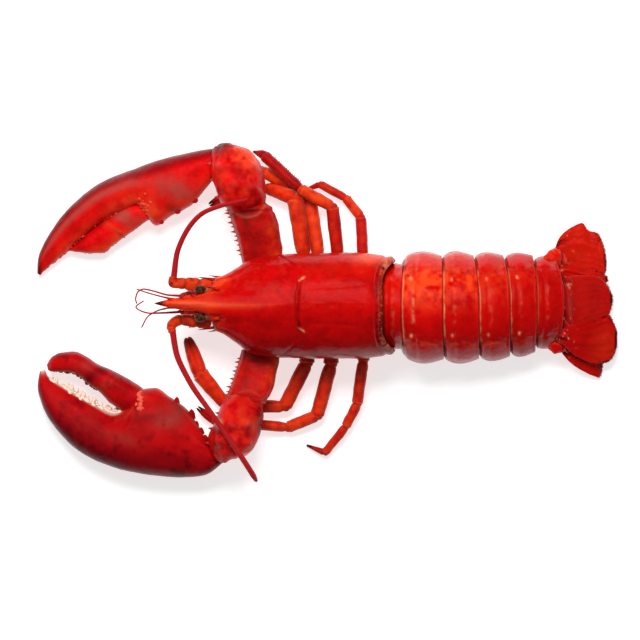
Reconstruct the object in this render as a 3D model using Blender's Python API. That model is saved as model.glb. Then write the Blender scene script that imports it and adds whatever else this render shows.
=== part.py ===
"""A boiled clawed lobster lying on its belly, head towards -X, both claws folded forward.

Every size is in millimetres until an object is made, where MM turns it into metres.
The shapes are modelled about the body's axis, with x = 0 at the rear edge of the carapace and
z = 0 on the table. The last step moves everything so that the origin is the middle of its foot.
"""

import math

import bmesh
import bpy
import numpy as np
from mathutils import Vector

MM = 0.001
CLEARANCE = 0.35  # between neighbouring shell pieces, as deep as the joint membranes
RIGHT, LEFT = 1, -1  # the animal's own sides: its right side is at +Y

# Driving dimensions of a lobster of about 0.6 kg
CARAPACE_LENGTH = 85.0  # eye sockets to rear edge, along the back
CARAPACE_HALF_WIDTH = 26.3
BACK_HEIGHT = 49.0  # table to the top of the carapace
BELLY_HEIGHT = 13.0  # table to the lower edge of the carapace
ROSTRUM_LENGTH = 27.0
TAIL_HALF_WIDTH = 27.8
TAIL_HEIGHT = 44.0
FOOT = 0.0  # height of the table
SETTLE = 0.6  # what comes nearer to the table than this rests flat on it
SOCKETS = -CARAPACE_LENGTH  # where the eyes sit and the beak starts
SMOOTH_UNDER = math.radians(50)  # edges flatter than this are shaded round

# Colours from the photograph and how the shell shines
FINISHES = {
    "shell": ((0.62, 0.01, 0.004), 0.28),
    "claw_shell": ((0.42, 0.006, 0.006), 0.24),
    "leg_shell": ((0.68, 0.045, 0.006), 0.35),
    "underside": ((0.72, 0.16, 0.05), 0.5),
    "feeler": ((0.45, 0.02, 0.015), 0.35),
    "eye": ((0.012, 0.008, 0.007), 0.12),
}


def clear_scene():
    for item in list(bpy.data.objects):
        bpy.data.objects.remove(item)


def finish_named(name):
    """One Principled material for each kind of surface."""
    found = bpy.data.materials.get(name)
    if found:
        return found
    colour, roughness = FINISHES[name]
    made = bpy.data.materials.new(name)
    made.use_nodes = True
    shader = made.node_tree.nodes["Principled BSDF"]
    shader.inputs["Base Color"].default_value = (*colour, 1)
    shader.inputs["Roughness"].default_value = roughness
    shader.inputs["Metallic"].default_value = 0
    return made


def collection_named(name):
    found = bpy.data.collections.get(name)
    if not found:
        found = bpy.data.collections.new(name)
        bpy.context.scene.collection.children.link(found)
    return found


def smooth_rows(rows, count):
    """count rows that pass smoothly through the given ones, with no overshoot between them."""
    keys = np.array(rows, float)
    steps = np.diff(keys, axis=0)
    slopes = np.zeros_like(keys)
    same_way = steps[:-1] * steps[1:] > 0
    total = np.where(same_way, steps[:-1] + steps[1:], 1)
    slopes[1:-1] = np.where(same_way, 2 * steps[:-1] * steps[1:] / total, 0)
    slopes[0], slopes[-1] = steps[0], steps[-1]
    out = []
    for place in np.linspace(0, len(keys) - 1, count):
        i = min(int(place), len(keys) - 2)
        t = place - i
        out.append(
            keys[i] * (1 + 2 * t) * (1 - t) ** 2
            + slopes[i] * t * (1 - t) ** 2
            + keys[i + 1] * t * t * (3 - 2 * t)
            + slopes[i + 1] * t * t * (t - 1)
        )
    return out


def between(keys, x):
    """The value at x of a line through the (x, value) keys."""
    xs, values = zip(*keys)
    return float(np.interp(x, xs, values))


def power(value, exponent):
    return math.copysign(abs(value) ** exponent, value)


def add_mesh(name, mesh, finish):
    mesh.materials.append(finish_named(finish))
    made = bpy.data.objects.new(name, mesh)
    collection_named("lobster").objects.link(made)
    return made


def loft(name, rings, finish):
    """A closed solid through rings of equally many points, with a cap at each end."""
    shape = bmesh.new()
    rows = [[shape.verts.new(Vector(p) * MM) for p in ring] for ring in rings]
    around = len(rows[0])
    for low, high in zip(rows, rows[1:]):
        for i in range(around):
            j = (i + 1) % around
            shape.faces.new((low[i], low[j], high[j], high[i]))
    for row in (rows[0], rows[-1]):
        middle = shape.verts.new(sum((v.co for v in row), Vector()) / around)
        for i in range(around):
            shape.faces.new((row[i], row[(i + 1) % around], middle))
    bmesh.ops.triangulate(shape, faces=shape.faces)
    bmesh.ops.recalc_face_normals(shape, faces=shape.faces)
    mesh = bpy.data.meshes.new(name)
    shape.to_mesh(mesh)
    shape.free()
    mesh.shade_smooth()
    mesh.set_sharp_from_angle(angle=SMOOTH_UNDER)
    return add_mesh(name, mesh, finish)


def oval(centre, across, up, sides, squareness=2.0):
    """A ring about centre with the two given half axes, and a flat side below."""
    ring = []
    start = 0.5 if sides % 4 == 0 else 0
    for i in range(sides):
        a = 2 * math.pi * (i + start) / sides
        ring.append(
            Vector(centre)
            + Vector(across) * power(math.cos(a), 2 / squareness)
            + Vector(up) * power(math.sin(a), 2 / squareness)
        )
    return ring


def blade(name, rows, rings, sides, finish, roll=0.0, squareness=2.3):
    """A flattened solid whose outline from above is given by its rows, and which rests on the table.

    A row is (outer x, outer y, inner x, inner y, thickness, height of the middle). The roll turns
    the blade about its own length, with its outer edge upwards, and keeps the outline.
    """
    sections = []
    for row in smooth_rows(rows, rings):
        outer, inner = Vector((row[0], row[1], 0)), Vector((row[2], row[3], 0))
        half = (outer - inner) / 2
        thick = row[4] / 2
        turned = thick * math.sin(roll)
        breadth = math.sqrt(max(half.length**2 - turned**2, thick * thick * 0.2)) / math.cos(roll)
        side = half.normalized()
        across = (side * math.cos(roll) + Vector((0, 0, math.sin(roll)))) * breadth
        up = (Vector((0, 0, math.cos(roll))) - side * math.sin(roll)) * thick
        centre = (outer + inner) / 2 + Vector((0, 0, row[5]))
        ring = oval(centre, across, up, sides, squareness)
        for point in ring:
            point.z = point.z if point.z > FOOT + SETTLE else FOOT
        sections.append(ring)
    return loft(name, sections, finish)


def tube(name, route, finish, resolution=2):
    """A round limb along a route of (x, y, z, radius) rows."""
    data = bpy.data.curves.new(name, "CURVE")
    data.dimensions = "3D"
    data.bevel_depth = MM
    data.bevel_resolution = resolution
    data.use_fill_caps = True
    line = data.splines.new("POLY")
    line.points.add(len(route) - 1)
    for point, (x, y, z, radius) in zip(line.points, route):
        point.co = (x * MM, y * MM, z * MM, 1)
        point.radius = radius
    data.materials.append(finish_named(finish))
    made = bpy.data.objects.new(name, data)
    collection_named("lobster").objects.link(made)
    return made


def jointed(stations, knuckle=1.1, neck=0.74, pointed=True):
    """A limb's route with its joints: each stretch starts in a narrow neck and ends in a wide rim.

    The last stretch of a pointed limb narrows to its tip.
    """
    route = []
    last = len(stations) - 2
    for i, ((x0, y0, z0, r0), (x1, y1, z1, r1)) in enumerate(zip(stations, stations[1:])):
        rims = ((0.0, neck), (0.12, 0.94), (0.88, knuckle), (0.985, knuckle))
        if pointed and i == last:
            rims = ((0.0, neck), (0.35, 1.1), (1.0, 1.0))
        for t, scale in rims:
            radius = (r0 + (r1 - r0) * t) * scale
            route.append((x0 + (x1 - x0) * t, y0 + (y1 - y0) * t, z0 + (z1 - z0) * t, radius))
    return route


def settle(item):
    """Replaces an object's mesh by what its modifiers make of it."""
    graph = bpy.context.evaluated_depsgraph_get()
    result = bpy.data.meshes.new_from_object(item.evaluated_get(graph))
    item.modifiers.clear()
    item.data = result


def drop_scraps(item):
    """Keeps only the largest body of a mesh, without the slivers that a cut leaves."""
    shape = bmesh.new()
    shape.from_mesh(item.data)
    bodies, waiting = [], set(shape.verts)
    while waiting:
        body, edge = set(), [next(iter(waiting))]
        while edge:
            vert = edge.pop()
            if vert in waiting:
                waiting.discard(vert)
                body.add(vert)
                edge += [e.other_vert(vert) for e in vert.link_edges]
        bodies.append(body)
    bodies.sort(key=len)
    bmesh.ops.delete(shape, geom=[v for body in bodies[:-1] for v in body], context="VERTS")
    shape.to_mesh(item.data)
    shape.free()


def with_spines(item, spines, corners=5):
    """Fuses cones onto an object. A spine is (foot, tip, radius at the foot)."""
    group = collection_named(item.name + "_spines")
    for foot, tip, radius in spines:
        way = Vector(tip) - Vector(foot)
        bpy.ops.mesh.primitive_cone_add(
            vertices=corners,
            radius1=radius * MM,
            radius2=0,
            depth=way.length * MM,
            location=(Vector(foot) + way / 2) * MM,
            rotation=way.to_track_quat("Z", "Y").to_euler(),
        )
        cone = bpy.context.object
        for old in list(cone.users_collection):
            old.objects.unlink(cone)
        group.objects.link(cone)
    join = item.modifiers.new("spines", "BOOLEAN")
    join.operation = "UNION"
    join.operand_type = "COLLECTION"
    join.collection = group
    settle(item)
    for cone in list(group.objects):
        bpy.data.objects.remove(cone)
    bpy.data.collections.remove(group)
    return item


def swollen_copy(item):
    """A copy grown by the clearance, to cut a neighbour with."""
    grown = item.data.copy()
    shape = bmesh.new()
    shape.from_mesh(grown)
    shape.normal_update()
    moves = [(v, v.normal.copy()) for v in shape.verts]
    for vert, normal in moves:
        vert.co += normal * CLEARANCE * MM
    shape.to_mesh(grown)
    shape.free()
    made = bpy.data.objects.new(item.name + "_socket", grown)
    made.hide_render = True
    made.display_type = "WIRE"
    collection_named("sockets").objects.link(made)
    return made


def cut_clear(item, *neighbours):
    """Cuts an object back from its neighbours, so that it seats against them."""
    for neighbour in neighbours:
        cutter = swollen_copy(neighbour)
        cut = item.modifiers.new("socket", "BOOLEAN")
        cut.operation = "DIFFERENCE"
        cut.object = cutter
        settle(item)
        drop_scraps(item)
        bpy.data.objects.remove(cutter)
    return item


# The body's axis seen from above, and the outlines of the carapace. Keys are x, then the value there
AXIS = [
    (-112, 2.0), (SOCKETS, 1.0), (-60, 0.1), (-20, 0.4), (0, 0.4), (20, -0.5), (40, -0.4), (55, -0.1),
    (68, 0.6), (85, 2.1),
]
CARAPACE_WIDTH = [  # share of the half width
    (SOCKETS, 0.50), (-80, 0.575), (-75, 0.65), (-70, 0.735), (-65, 0.83), (-60, 0.89), (-50, 0.945),
    (-40, 0.975), (-20, 1.0), (-12, 1.0), (-5, 0.96), (-1, 0.92), (0.4, 0.86),
]
BACK = [  # share of the back's height
    (SOCKETS, 0.80), (-78, 0.84), (-70, 0.885), (-60, 0.935), (-45, 0.965), (-20, 1.0), (-8, 0.985),
    (0.4, 0.92),
]
BELLY = [  # height of the lower edge
    (SOCKETS, 24), (-78, 20), (-70, 17), (-60, 14.5), (-40, BELLY_HEIGHT), (-10, BELLY_HEIGHT), (0.4, 15),
]
WAIST = 0.45  # share of the carapace's height where it is widest
ARCH = 0.95  # exponent of the back's arch, below 1 for one fuller than an ellipse
SHELL_FULLNESS = 0.92  # the same across the carapace
LOWER_EDGE = [  # share of the half width, share of the waist's height, and how much above that
    (0.985, 0.5, 1.0), (0.93, 0.0, 1.5), (0.86, 0.0, 0.0), (0.45, 0.0, 0.0),
]
RIM_BOW = [  # how far a ring's sides lie behind its top
    (SOCKETS, 5), (-72, 0), (-41, -8), (-26, -3), (-14, 0), (0.4, 7),
]
RIM_BEND = [(-14, 2), (0, 5)]  # how late, going out from the back, the ring turns
GROOVE_AT = -41.0  # the cervical groove on the midline
GROOVE_DEPTH = 0.035  # share of the ring's size
CARAPACE_RINGS = [
    SOCKETS, -82, -78, -74, -70, -66, -62, -57, -52, -47, -43, GROOVE_AT, -39, -34, -28, -22, -16, -10,
    -5, -1.5, 0.4,
]


def axis_at(x):
    return between(AXIS, x)


def shoulder(width, low, top, steps, fullness):
    """Points (across, height) from the crown out to the widest place, fuller than an ellipse."""
    points = []
    for i in range(steps + 1):
        a = math.pi / 2 * (1 - i / steps)
        points.append((width * math.cos(a) ** fullness, low + (top - low) * math.sin(a) ** ARCH))
    return points


def carapace_ring(x):
    """Half of the ring from the back down to the belly, then the other half."""
    width = CARAPACE_HALF_WIDTH * between(CARAPACE_WIDTH, x)
    low = between(BELLY, x)
    top = BACK_HEIGHT * between(BACK, x)
    waist = low + (top - low) * WAIST
    sunk = 1 - (GROOVE_DEPTH if x == GROOVE_AT else 0)
    bow, bend = between(RIM_BOW, x), between(RIM_BEND, x)
    half = shoulder(width * sunk, waist, waist + (top - waist) * sunk, 8, SHELL_FULLNESS)
    half += [(width * share, low + (waist - low) * rise + lift) for share, rise, lift in LOWER_EDGE]
    ring = []
    for side in (RIGHT, LEFT):
        points = half[1:] if side == RIGHT else half[:0:-1]
        for across, height in points:
            back = bow * min(across / width, 1) ** bend
            ring.append(Vector((x + back, axis_at(x) + side * across, height)))
    ring.append(Vector((x, axis_at(x), top)))
    return ring


# The beak: x, half width, top height and depth
BEAK = [
    (-66, 7.5, 45.0, 5.0), (-78, 7.5, 41.6, 5.0), (SOCKETS, 5.6, 39.8, 5.5), (-91, 4.2, 39.0, 4.6),
    (-98, 3.4, 38.6, 3.6), (-104, 2.3, 38.5, 2.6), (-109, 1.2, 38.4, 1.7),
    (SOCKETS - ROSTRUM_LENGTH, 0.25, 38.3, 0.6),
]
BEAK_SPINES = [(-91, 3.6), (-97, 3.0), (-103, 2.0)]  # x and distance from the midline


def build_carapace():
    shell = loft("carapace", [carapace_ring(x) for x in CARAPACE_RINGS], "shell")
    y = axis_at(-95)
    rings = []
    for x, wide, top, deep in BEAK:
        rings.append(oval((x, y, top - deep / 2), (0, wide, 0), (0, 0, deep / 2), 8, 1.8))
    beak = loft("beak", rings, "shell")
    join = shell.modifiers.new("beak", "BOOLEAN")
    join.operation = "UNION"
    join.object = beak
    settle(shell)
    bpy.data.objects.remove(beak)
    spines = []
    for side in (RIGHT, LEFT):
        for x, out in BEAK_SPINES:
            spines.append(((x, y + side * (out - 1), 37.4), (x - 4, y + side * (out + 1.4), 38.4), 0.9))
        spines.append(((-81, y + side * 7.5, 38.6), (-86.5, y + side * 8.2, 41.2), 1.1))
        spines.append(((-79, y + side * 11.5, 28), (-90, y + side * 12.6, 29.5), 1.5))
    return with_spines(shell, spines)


# The breastplate: x, half width and lower height. Its top follows the carapace's lower edge
BREASTPLATE = [
    (-84, 6, 17), (-78, 8, 12), (-70, 11, 7), (-62, 14, 4.5), (-50, 15, 4), (-30, 15, 4), (-12, 14, 4.5),
    (0, 12, 7),
]


def build_thorax():
    """The breastplate and leg sockets under the carapace."""
    rings = []
    for x, wide, bottom in BREASTPLATE:
        top = between(BELLY, x) - CLEARANCE - 0.2
        middle = (x, axis_at(x), (top + bottom) / 2)
        rings.append(oval(middle, (0, wide, 0), (0, 0, (top - bottom) / 2), 12, 3.0))
    return loft("thorax", rings, "underside")


# Seams of the tail's segments: place on the midline, then how far back they lie at the right and left
SEAMS = [
    (0.4, 7, 7), (10.2, 2.6, 2.4), (30.8, -0.3, 1.0), (48.8, -2.8, 0.5), (64.3, -3.8, 0.5),
    (77.8, -2.5, -0.8), (91.5, -7.0, -4.5),
]
SEAM_BENDS = [5, 2, 2, 2, 2, 2, 2]  # how late, going out from the back, each seam turns
SOMITE_HALF_WIDTHS = [21.4, TAIL_HALF_WIDTH, TAIL_HALF_WIDTH, 27.0, 25.8, 22.9]
SOMITE_SWELLS = [0.4, 2.2, 2.2, 2.0, 1.8, 0.8]  # how much wider a segment is than at its seams
SOMITE_TIPS = [15, FOOT - 0.5, FOOT - 0.5, FOOT - 0.5, FOOT - 0.3, 4]  # lower points of the side plates
SOMITE_TOPS = [
    (1, 41.6), (10, 43.2), (20, TAIL_HEIGHT), (40, 42.2), (56, 38.4), (71, 33.2), (85, 27.2), (93, 23),
]
PLEURON_DEPTHS = [  # along a segment: share of its length, share of the side plate's full depth
    (0.0, 0.25), (0.17, 0.55), (0.45, 0.95), (0.72, 1.0), (0.93, 0.6), (1.0, 0.45),
]
HINGE = 0.42  # share of a segment's height where its side plates start


def somite_ring(x, width, top, tip, hinge, belly, bows, bend):
    """An arch over the back, with a plate hanging down at each side and a hollow between them."""
    half = shoulder(width, hinge, top, 7, ARCH)
    half += [(width * 1.01, (hinge + tip) / 2), (width * 0.97, tip)]  # outside of the side plate
    half += [(width * 0.88, tip + 0.8), (width * 0.74, belly)]  # its inner side
    half += [(width * 0.35, belly - 1.0)]
    ring = []
    for side, bow in zip((RIGHT, LEFT), bows):
        for across, height in half[1:] if side == RIGHT else half[:0:-1]:
            back = bow * min(across / TAIL_HALF_WIDTH, 1) ** bend
            ring.append(Vector((x + back, axis_at(x) + side * across, max(height, FOOT))))
    ring.append(Vector((x, axis_at(x), top)))
    return ring


def build_somites():
    somites = []
    for i in range(6):
        width, swell, tip = SOMITE_HALF_WIDTHS[i], SOMITE_SWELLS[i], SOMITE_TIPS[i]
        rings = []
        for share, depth in PLEURON_DEPTHS:
            x, *bows = (a + (b - a) * share for a, b in zip(SEAMS[i], SEAMS[i + 1]))
            bend = SEAM_BENDS[i] + (SEAM_BENDS[i + 1] - SEAM_BENDS[i]) * share
            crown = between(SOMITE_TOPS, x) + 0.7 * math.sin(math.pi * min(share * 1.1, 1))
            crown -= 0.9 * (1 - share) ** 4  # a segment's front slips under the one before it
            hinge = crown * HINGE
            wide = width - swell + swell * math.sin(math.pi * share**0.9) - 0.8 * (1 - share) ** 6
            belly = max(hinge * 0.72, 7.0)
            lowest = belly - (belly - tip) * depth - 0.2
            inset = CLEARANCE * 1.2 * (1 - 2 * share)
            rings.append(somite_ring(x + inset, wide, crown, lowest, hinge, belly, bows, bend))
        somites.append(loft(f"abdomen_{i + 1}", rings, "shell"))
    return somites


# Tail blades: rows along each blade, as in blade()
TELSON = [
    (92.5, 13.5, 92.0, -8.5, 6.0, 17.0),
    (97, 14.6, 97, -9.0, 5.0, 14.0),
    (104, 14.2, 104, -8.6, 3.4, 10.4),
    (110, 13.2, 110, -7.2, 2.4, 7.6),
    (114, 10.5, 114.5, -4.5, 1.8, 5.9),
    (116.4, 5.5, 116.4, 1.5, 1.4, 5.0),
]
RIGHT_ENDOPOD = [
    (89.5, 21, 90, 13, 3.0, 12.4),
    (94, 22.2, 94, 12, 2.4, 9.8),
    (101, 19.6, 101, 11.5, 2.0, 7.2),
    (108, 17.6, 108, 11.2, 1.7, 5.4),
    (112, 16.2, 112, 11.5, 1.5, 4.4),
    (114, 14.8, 114, 12.6, 1.2, 3.8),
]
RIGHT_EXOPOD = [
    (86.5, 27, 88, 21, 3.0, 9.6),
    (89.5, 34.4, 91.5, 20.6, 2.4, 7.6),
    (95, 39.2, 96.5, 19.4, 2.0, 5.2),
    (101, 41.8, 102.5, 17.8, 1.8, 3.6),
    (104, 38.2, 107, 16.8, 1.6, 2.8),
    (109, 36.6, 111, 16.0, 1.4, 2.0),
    (112, 30.5, 112.8, 16.4, 1.2, 1.6),
    (113.2, 24, 113.4, 19.6, 1.0, 1.4),
]
LEFT_ENDOPOD = [
    (91, -19, 91.5, -12.8, 3.0, 18.2),
    (96, -23.5, 96.5, -11.0, 2.4, 15.4),
    (102, -26.6, 103, -8.8, 2.0, 11.8),
    (108, -28.6, 109.5, -6.0, 1.7, 9.4),
    (113, -28.2, 114.4, -4.2, 1.6, 8.0),
    (116.4, -25.6, 117, -8.0, 1.4, 7.0),
    (118.8, -19.6, 118.8, -12.8, 1.2, 6.2),
]
LEFT_EXOPOD = [
    (90.6, -23.4, 91.8, -19, 3.0, 12.5),
    (94.5, -27.8, 96, -20, 2.4, 10.0),
    (100.5, -31.8, 102.5, -22, 2.0, 7.0),
    (105.8, -34.4, 107.5, -23.5, 1.8, 4.4),
    (109.6, -35.6, 110.4, -25, 1.5, 2.8),
    (111.2, -32.6, 111.6, -27.5, 1.2, 1.8),
]
PROTOPODS = {  # thick stalks that carry the blades
    "uropod_stalk_right": [(82.5, 23.6, 14.6, 2.0), (86, 24.4, 13.0, 3.4), (89.0, 23.2, 12.4, 2.9)],
    "uropod_stalk_left": [(83.5, -18.0, 15.4, 2.0), (87, -19.2, 14.6, 3.2), (90.2, -19.6, 14.4, 2.6)],
}


def build_tail_fan(last_somite):
    telson = blade("telson", TELSON, 9, 12, "shell", squareness=2.6)
    cut_clear(telson, last_somite)
    fan = [telson]
    blades = (
        ("uropod_inner_right", RIGHT_ENDOPOD), ("uropod_outer_right", RIGHT_EXOPOD),
        ("uropod_inner_left", LEFT_ENDOPOD), ("uropod_outer_left", LEFT_EXOPOD),
    )
    for name, rows in blades:
        made = blade(name, rows, 9, 10, "shell", squareness=2.6)
        cut_clear(made, last_somite, *fan)
        fan.append(made)
    for name, route in PROTOPODS.items():
        rings = [oval((x, y, z), (0, r * 1.3, 0), (0, 0, r), 8) for x, y, z, r in route]
        stalk = loft(name, rings, "shell")
        cut_clear(stalk, last_somite, *fan)
        fan.append(stalk)


# The arms that carry the claws. A blade's row is (outer x, y, inner x, y, thickness, middle height)
RIGHT_MERUS = [
    (-48.5, 20.0, -68.5, 21.0, 12.5, 14.6),
    (-49.0, 31.0, -70.6, 31.0, 15.0, 16.2),
    (-51.0, 42.0, -73.4, 40.0, 17.5, 18.0),
    (-53.0, 50.0, -76.0, 48.0, 17.0, 19.5),
]
LEFT_MERUS = [
    (-49.5, -20.5, -69.0, -21.5, 12.5, 14.6),
    (-51.0, -31.0, -71.5, -30.5, 15.0, 16.2),
    (-53.5, -41.0, -74.0, -38.5, 17.5, 18.0),
    (-56.0, -48.5, -77.0, -45.5, 17.0, 19.5),
]
RIGHT_CARPUS = [
    (-57.0, 50.5, -75.0, 48.0, 13.0, 20.5),
    (-56.8, 55.0, -79.6, 52.5, 21.0, 21.5),
    (-57.5, 63.0, -82.2, 60.0, 25.0, 22.5),
    (-60.0, 71.0, -84.4, 67.5, 24.5, 22.5),
    (-65.0, 77.6, -84.8, 74.6, 20.0, 21.5),
    (-72.5, 82.0, -82.0, 81.4, 11.0, 20.5),
]
LEFT_CARPUS = [
    (-58.5, -48.0, -77.0, -45.5, 13.0, 20.5),
    (-58.2, -54.0, -79.5, -51.0, 21.0, 21.5),
    (-59.5, -62.0, -82.0, -58.0, 25.0, 22.5),
    (-62.5, -69.5, -85.5, -65.0, 24.0, 22.5),
    (-66.5, -73.8, -84.5, -71.0, 19.0, 21.5),
    (-74.5, -75.8, -82.0, -77.0, 11.0, 20.0),
]

# The right claw leans on its inner edge, and its blade is rolled to suit
RIGHT_ROLL = math.radians(18)
RIGHT_PALM = [
    (-80.5, 79.0, -83.0, 63.5, 11.0, 19.0),
    (-88.5, 77.8, -87.5, 58.0, 16.5, 16.0),
    (-98, 76, -95, 50, 20.0, 13.2),
    (-107, 73.8, -104, 45.5, 21.5, 11.6),
    (-115, 71.3, -111.5, 40.5, 22.0, 11.3),
    (-121, 69, -116.8, 45.5, 21.0, 11.2),
    (-127, 67, -121, 51, 19.5, 11.0),
    (-134, 64.2, -128, 47.8, 18.0, 10.4),
    (-142, 60.3, -136, 44, 16.5, 9.6),
    (-150, 53.8, -144, 38.5, 14.5, 8.6),
    (-157, 47.2, -151, 32.5, 12.5, 7.6),
    (-163, 39.5, -157.5, 26.5, 10.5, 6.6),
    (-168, 31, -163, 22, 8.5, 5.8),
    (-171, 23, -167.5, 18.2, 5.5, 5.0),
    (-171.2, 16.5, -169.6, 15.6, 2.2, 4.4),
]
RIGHT_FINGER = [
    (-113.5, 52.5, -110.5, 45.0, 12.0, 9.0),
    (-119.8, 50.0, -116.4, 42.6, 14.0, 8.8),
    (-126, 49.5, -121.2, 39.2, 14.5, 8.4),
    (-132, 47, -127, 35, 14.0, 8.0),
    (-138.5, 43, -133, 30.6, 13.0, 7.4),
    (-145, 38, -138.5, 26.8, 11.5, 6.8),
    (-151, 32.5, -145, 26.6, 9.5, 6.0),
    (-155.2, 29.4, -151.0, 27.2, 6.0, 5.2),
    (-156.6, 28.4, -155.4, 27.8, 2.4, 4.8),
]
LEFT_PALM = [
    (-81.5, -79.5, -86, -66.5, 12.0, 17.0),
    (-88, -84, -90.5, -59.5, 19.0, 14.5),
    (-96, -85.2, -96, -51.5, 23.5, 12.8),
    (-105.5, -85, -104.5, -45.2, 26.5, 12.9),
    (-116, -83.8, -112.5, -40.5, 27.5, 13.2),
    (-127, -82, -119.8, -41.6, 27.0, 13.0),
    (-136, -79.2, -125, -49, 25.0, 12.2),
    (-144, -75.8, -132.5, -53, 22.5, 11.2),
    (-152.5, -70.5, -141, -49.2, 20.0, 10.2),
    (-160, -63, -150, -44.3, 17.5, 9.4),
    (-166, -55, -157.5, -40, 15.0, 8.8),
    (-169.6, -46.5, -163, -37, 11.5, 8.4),
    (-171, -39.5, -166, -34.2, 8.0, 8.2),
    (-169.8, -32.2, -167.2, -31.6, 3.0, 8.2),
]
LEFT_FINGER = [
    (-114.5, -44.0, -125.0, -56.0, 14.0, 12.6),
    (-120.6, -39.0, -131.2, -50.6, 17.0, 12.6),
    (-126.5, -35.5, -135.5, -47.4, 18.5, 12.4),
    (-134, -31.5, -140.5, -42.2, 18.0, 12.0),
    (-141, -28.5, -146, -38.8, 16.5, 11.5),
    (-146.5, -24.8, -150.5, -34.7, 15.5, 11.0),
    (-152.5, -22.4, -155, -33, 14.0, 10.4),
    (-159, -22.8, -160, -32.7, 11.5, 9.8),
    (-164, -25.4, -163.6, -32.6, 8.0, 9.2),
    (-166.3, -29, -165.6, -31.8, 3.0, 8.8),
]


# Places of the arms' spines, knobs and teeth, as shares of a blade's length
MERUS_SPINES = (0.22, 0.38, 0.54, 0.7, 0.88)
CARPUS_SPINES = (0.25, 0.5)
CARPUS_KNOBS = ((0.3, 0.35), (0.5, 0.7), (0.55, 0.2), (0.78, 0.45))  # and share of the way across
PALM_KNOBS = (0.12, 0.19, 0.26)
PALM_TEETH = (0.58, 0.64, 0.7, 0.76)
FINGER_TEETH = (0.38, 0.48, 0.59)
INNER = 1  # a blade's edge


def edge_point(rows, share, edge):
    """A point on a blade's outer (0) or inner (1) edge, at its middle height."""
    row = smooth_rows(rows, 101)[round(share * 100)]
    return Vector((row[2 * edge], row[2 * edge + 1], row[5]))


def row_of_spines(rows, shares, edge, length, radius, lift=0.0):
    """Spines that stand out of a blade's edge, in the blade's own breadth."""
    spines = []
    for share in shares:
        foot, other = edge_point(rows, share, edge), edge_point(rows, share, 1 - edge)
        out = (foot - other).normalized()
        out.z = 0
        foot = foot - out * length * 0.45 + Vector((0, 0, lift))
        spines.append((foot, foot + out * length * 1.4 + Vector((0, 0, lift * 0.4)), radius))
    return spines


def build_arm(side, body):
    """One arm from the body out to the claw: merus, carpus, palm with the fixed finger, and finger."""
    right = side == RIGHT
    word = "right" if right else "left"
    merus_rows = RIGHT_MERUS if right else LEFT_MERUS
    carpus_rows = RIGHT_CARPUS if right else LEFT_CARPUS
    palm_rows = RIGHT_PALM if right else LEFT_PALM
    finger_rows = RIGHT_FINGER if right else LEFT_FINGER
    roll = RIGHT_ROLL if right else 0.0

    merus = blade(f"claw_arm_{word}", merus_rows, 7, 14, "leg_shell", squareness=2.7)
    with_spines(merus, row_of_spines(merus_rows, MERUS_SPINES, INNER, 3.2, 1.3))
    cut_clear(merus, *body)
    carpus = blade(f"claw_wrist_{word}", carpus_rows, 10, 14, "claw_shell", squareness=2.4)
    bumps = []
    for share, across in CARPUS_KNOBS:
        outer, inner = edge_point(carpus_rows, share, 0), edge_point(carpus_rows, share, 1)
        foot = outer.lerp(inner, across) + Vector((0, 0, 9.5))
        bumps.append((foot, foot + Vector((-1.5, side * 1.0, 5.2)), 1.7))
    with_spines(carpus, bumps + row_of_spines(carpus_rows, CARPUS_SPINES, INNER, 3.0, 1.5, lift=2.0))
    cut_clear(carpus, merus)
    palm = blade(f"claw_palm_{word}", palm_rows, 20, 14, "claw_shell", roll)
    knobs = row_of_spines(palm_rows, PALM_KNOBS, INNER, 3.0, 1.7, lift=1.0)
    teeth = [] if right else row_of_spines(palm_rows, PALM_TEETH, INNER, 2.0, 1.5)
    with_spines(palm, knobs + teeth)
    cut_clear(palm, carpus)
    finger = blade(f"claw_finger_{word}", finger_rows, 12, 10, "claw_shell", roll * 0.8)
    if not right:
        with_spines(finger, row_of_spines(finger_rows, FINGER_TEETH, INNER, 2.0, 1.5))
    cut_clear(finger, palm)


# The arm's stalk on the right side: x, y, z, radius
ARM_ROOT = [(-57, 12, 9.0, 4.2), (-58, 17, 10.5, 4.8), (-59, 22.5, 13.5, 5.2), (-59.5, 27, 15, 4.6)]


def build_arm_root(side, body, arm):
    """The short stalk between the breastplate and the arm, under the carapace."""
    word = "right" if side == RIGHT else "left"
    rings = []
    for x, y, z, radius in ARM_ROOT:
        leaning = (0, -side * radius * 0.35, radius)
        rings.append(oval((x, side * y, z), (radius * 1.35, 0, 0), leaning, 10))
    cut_clear(loft(f"claw_root_{word}", rings, "underside"), *body, arm)


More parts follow.
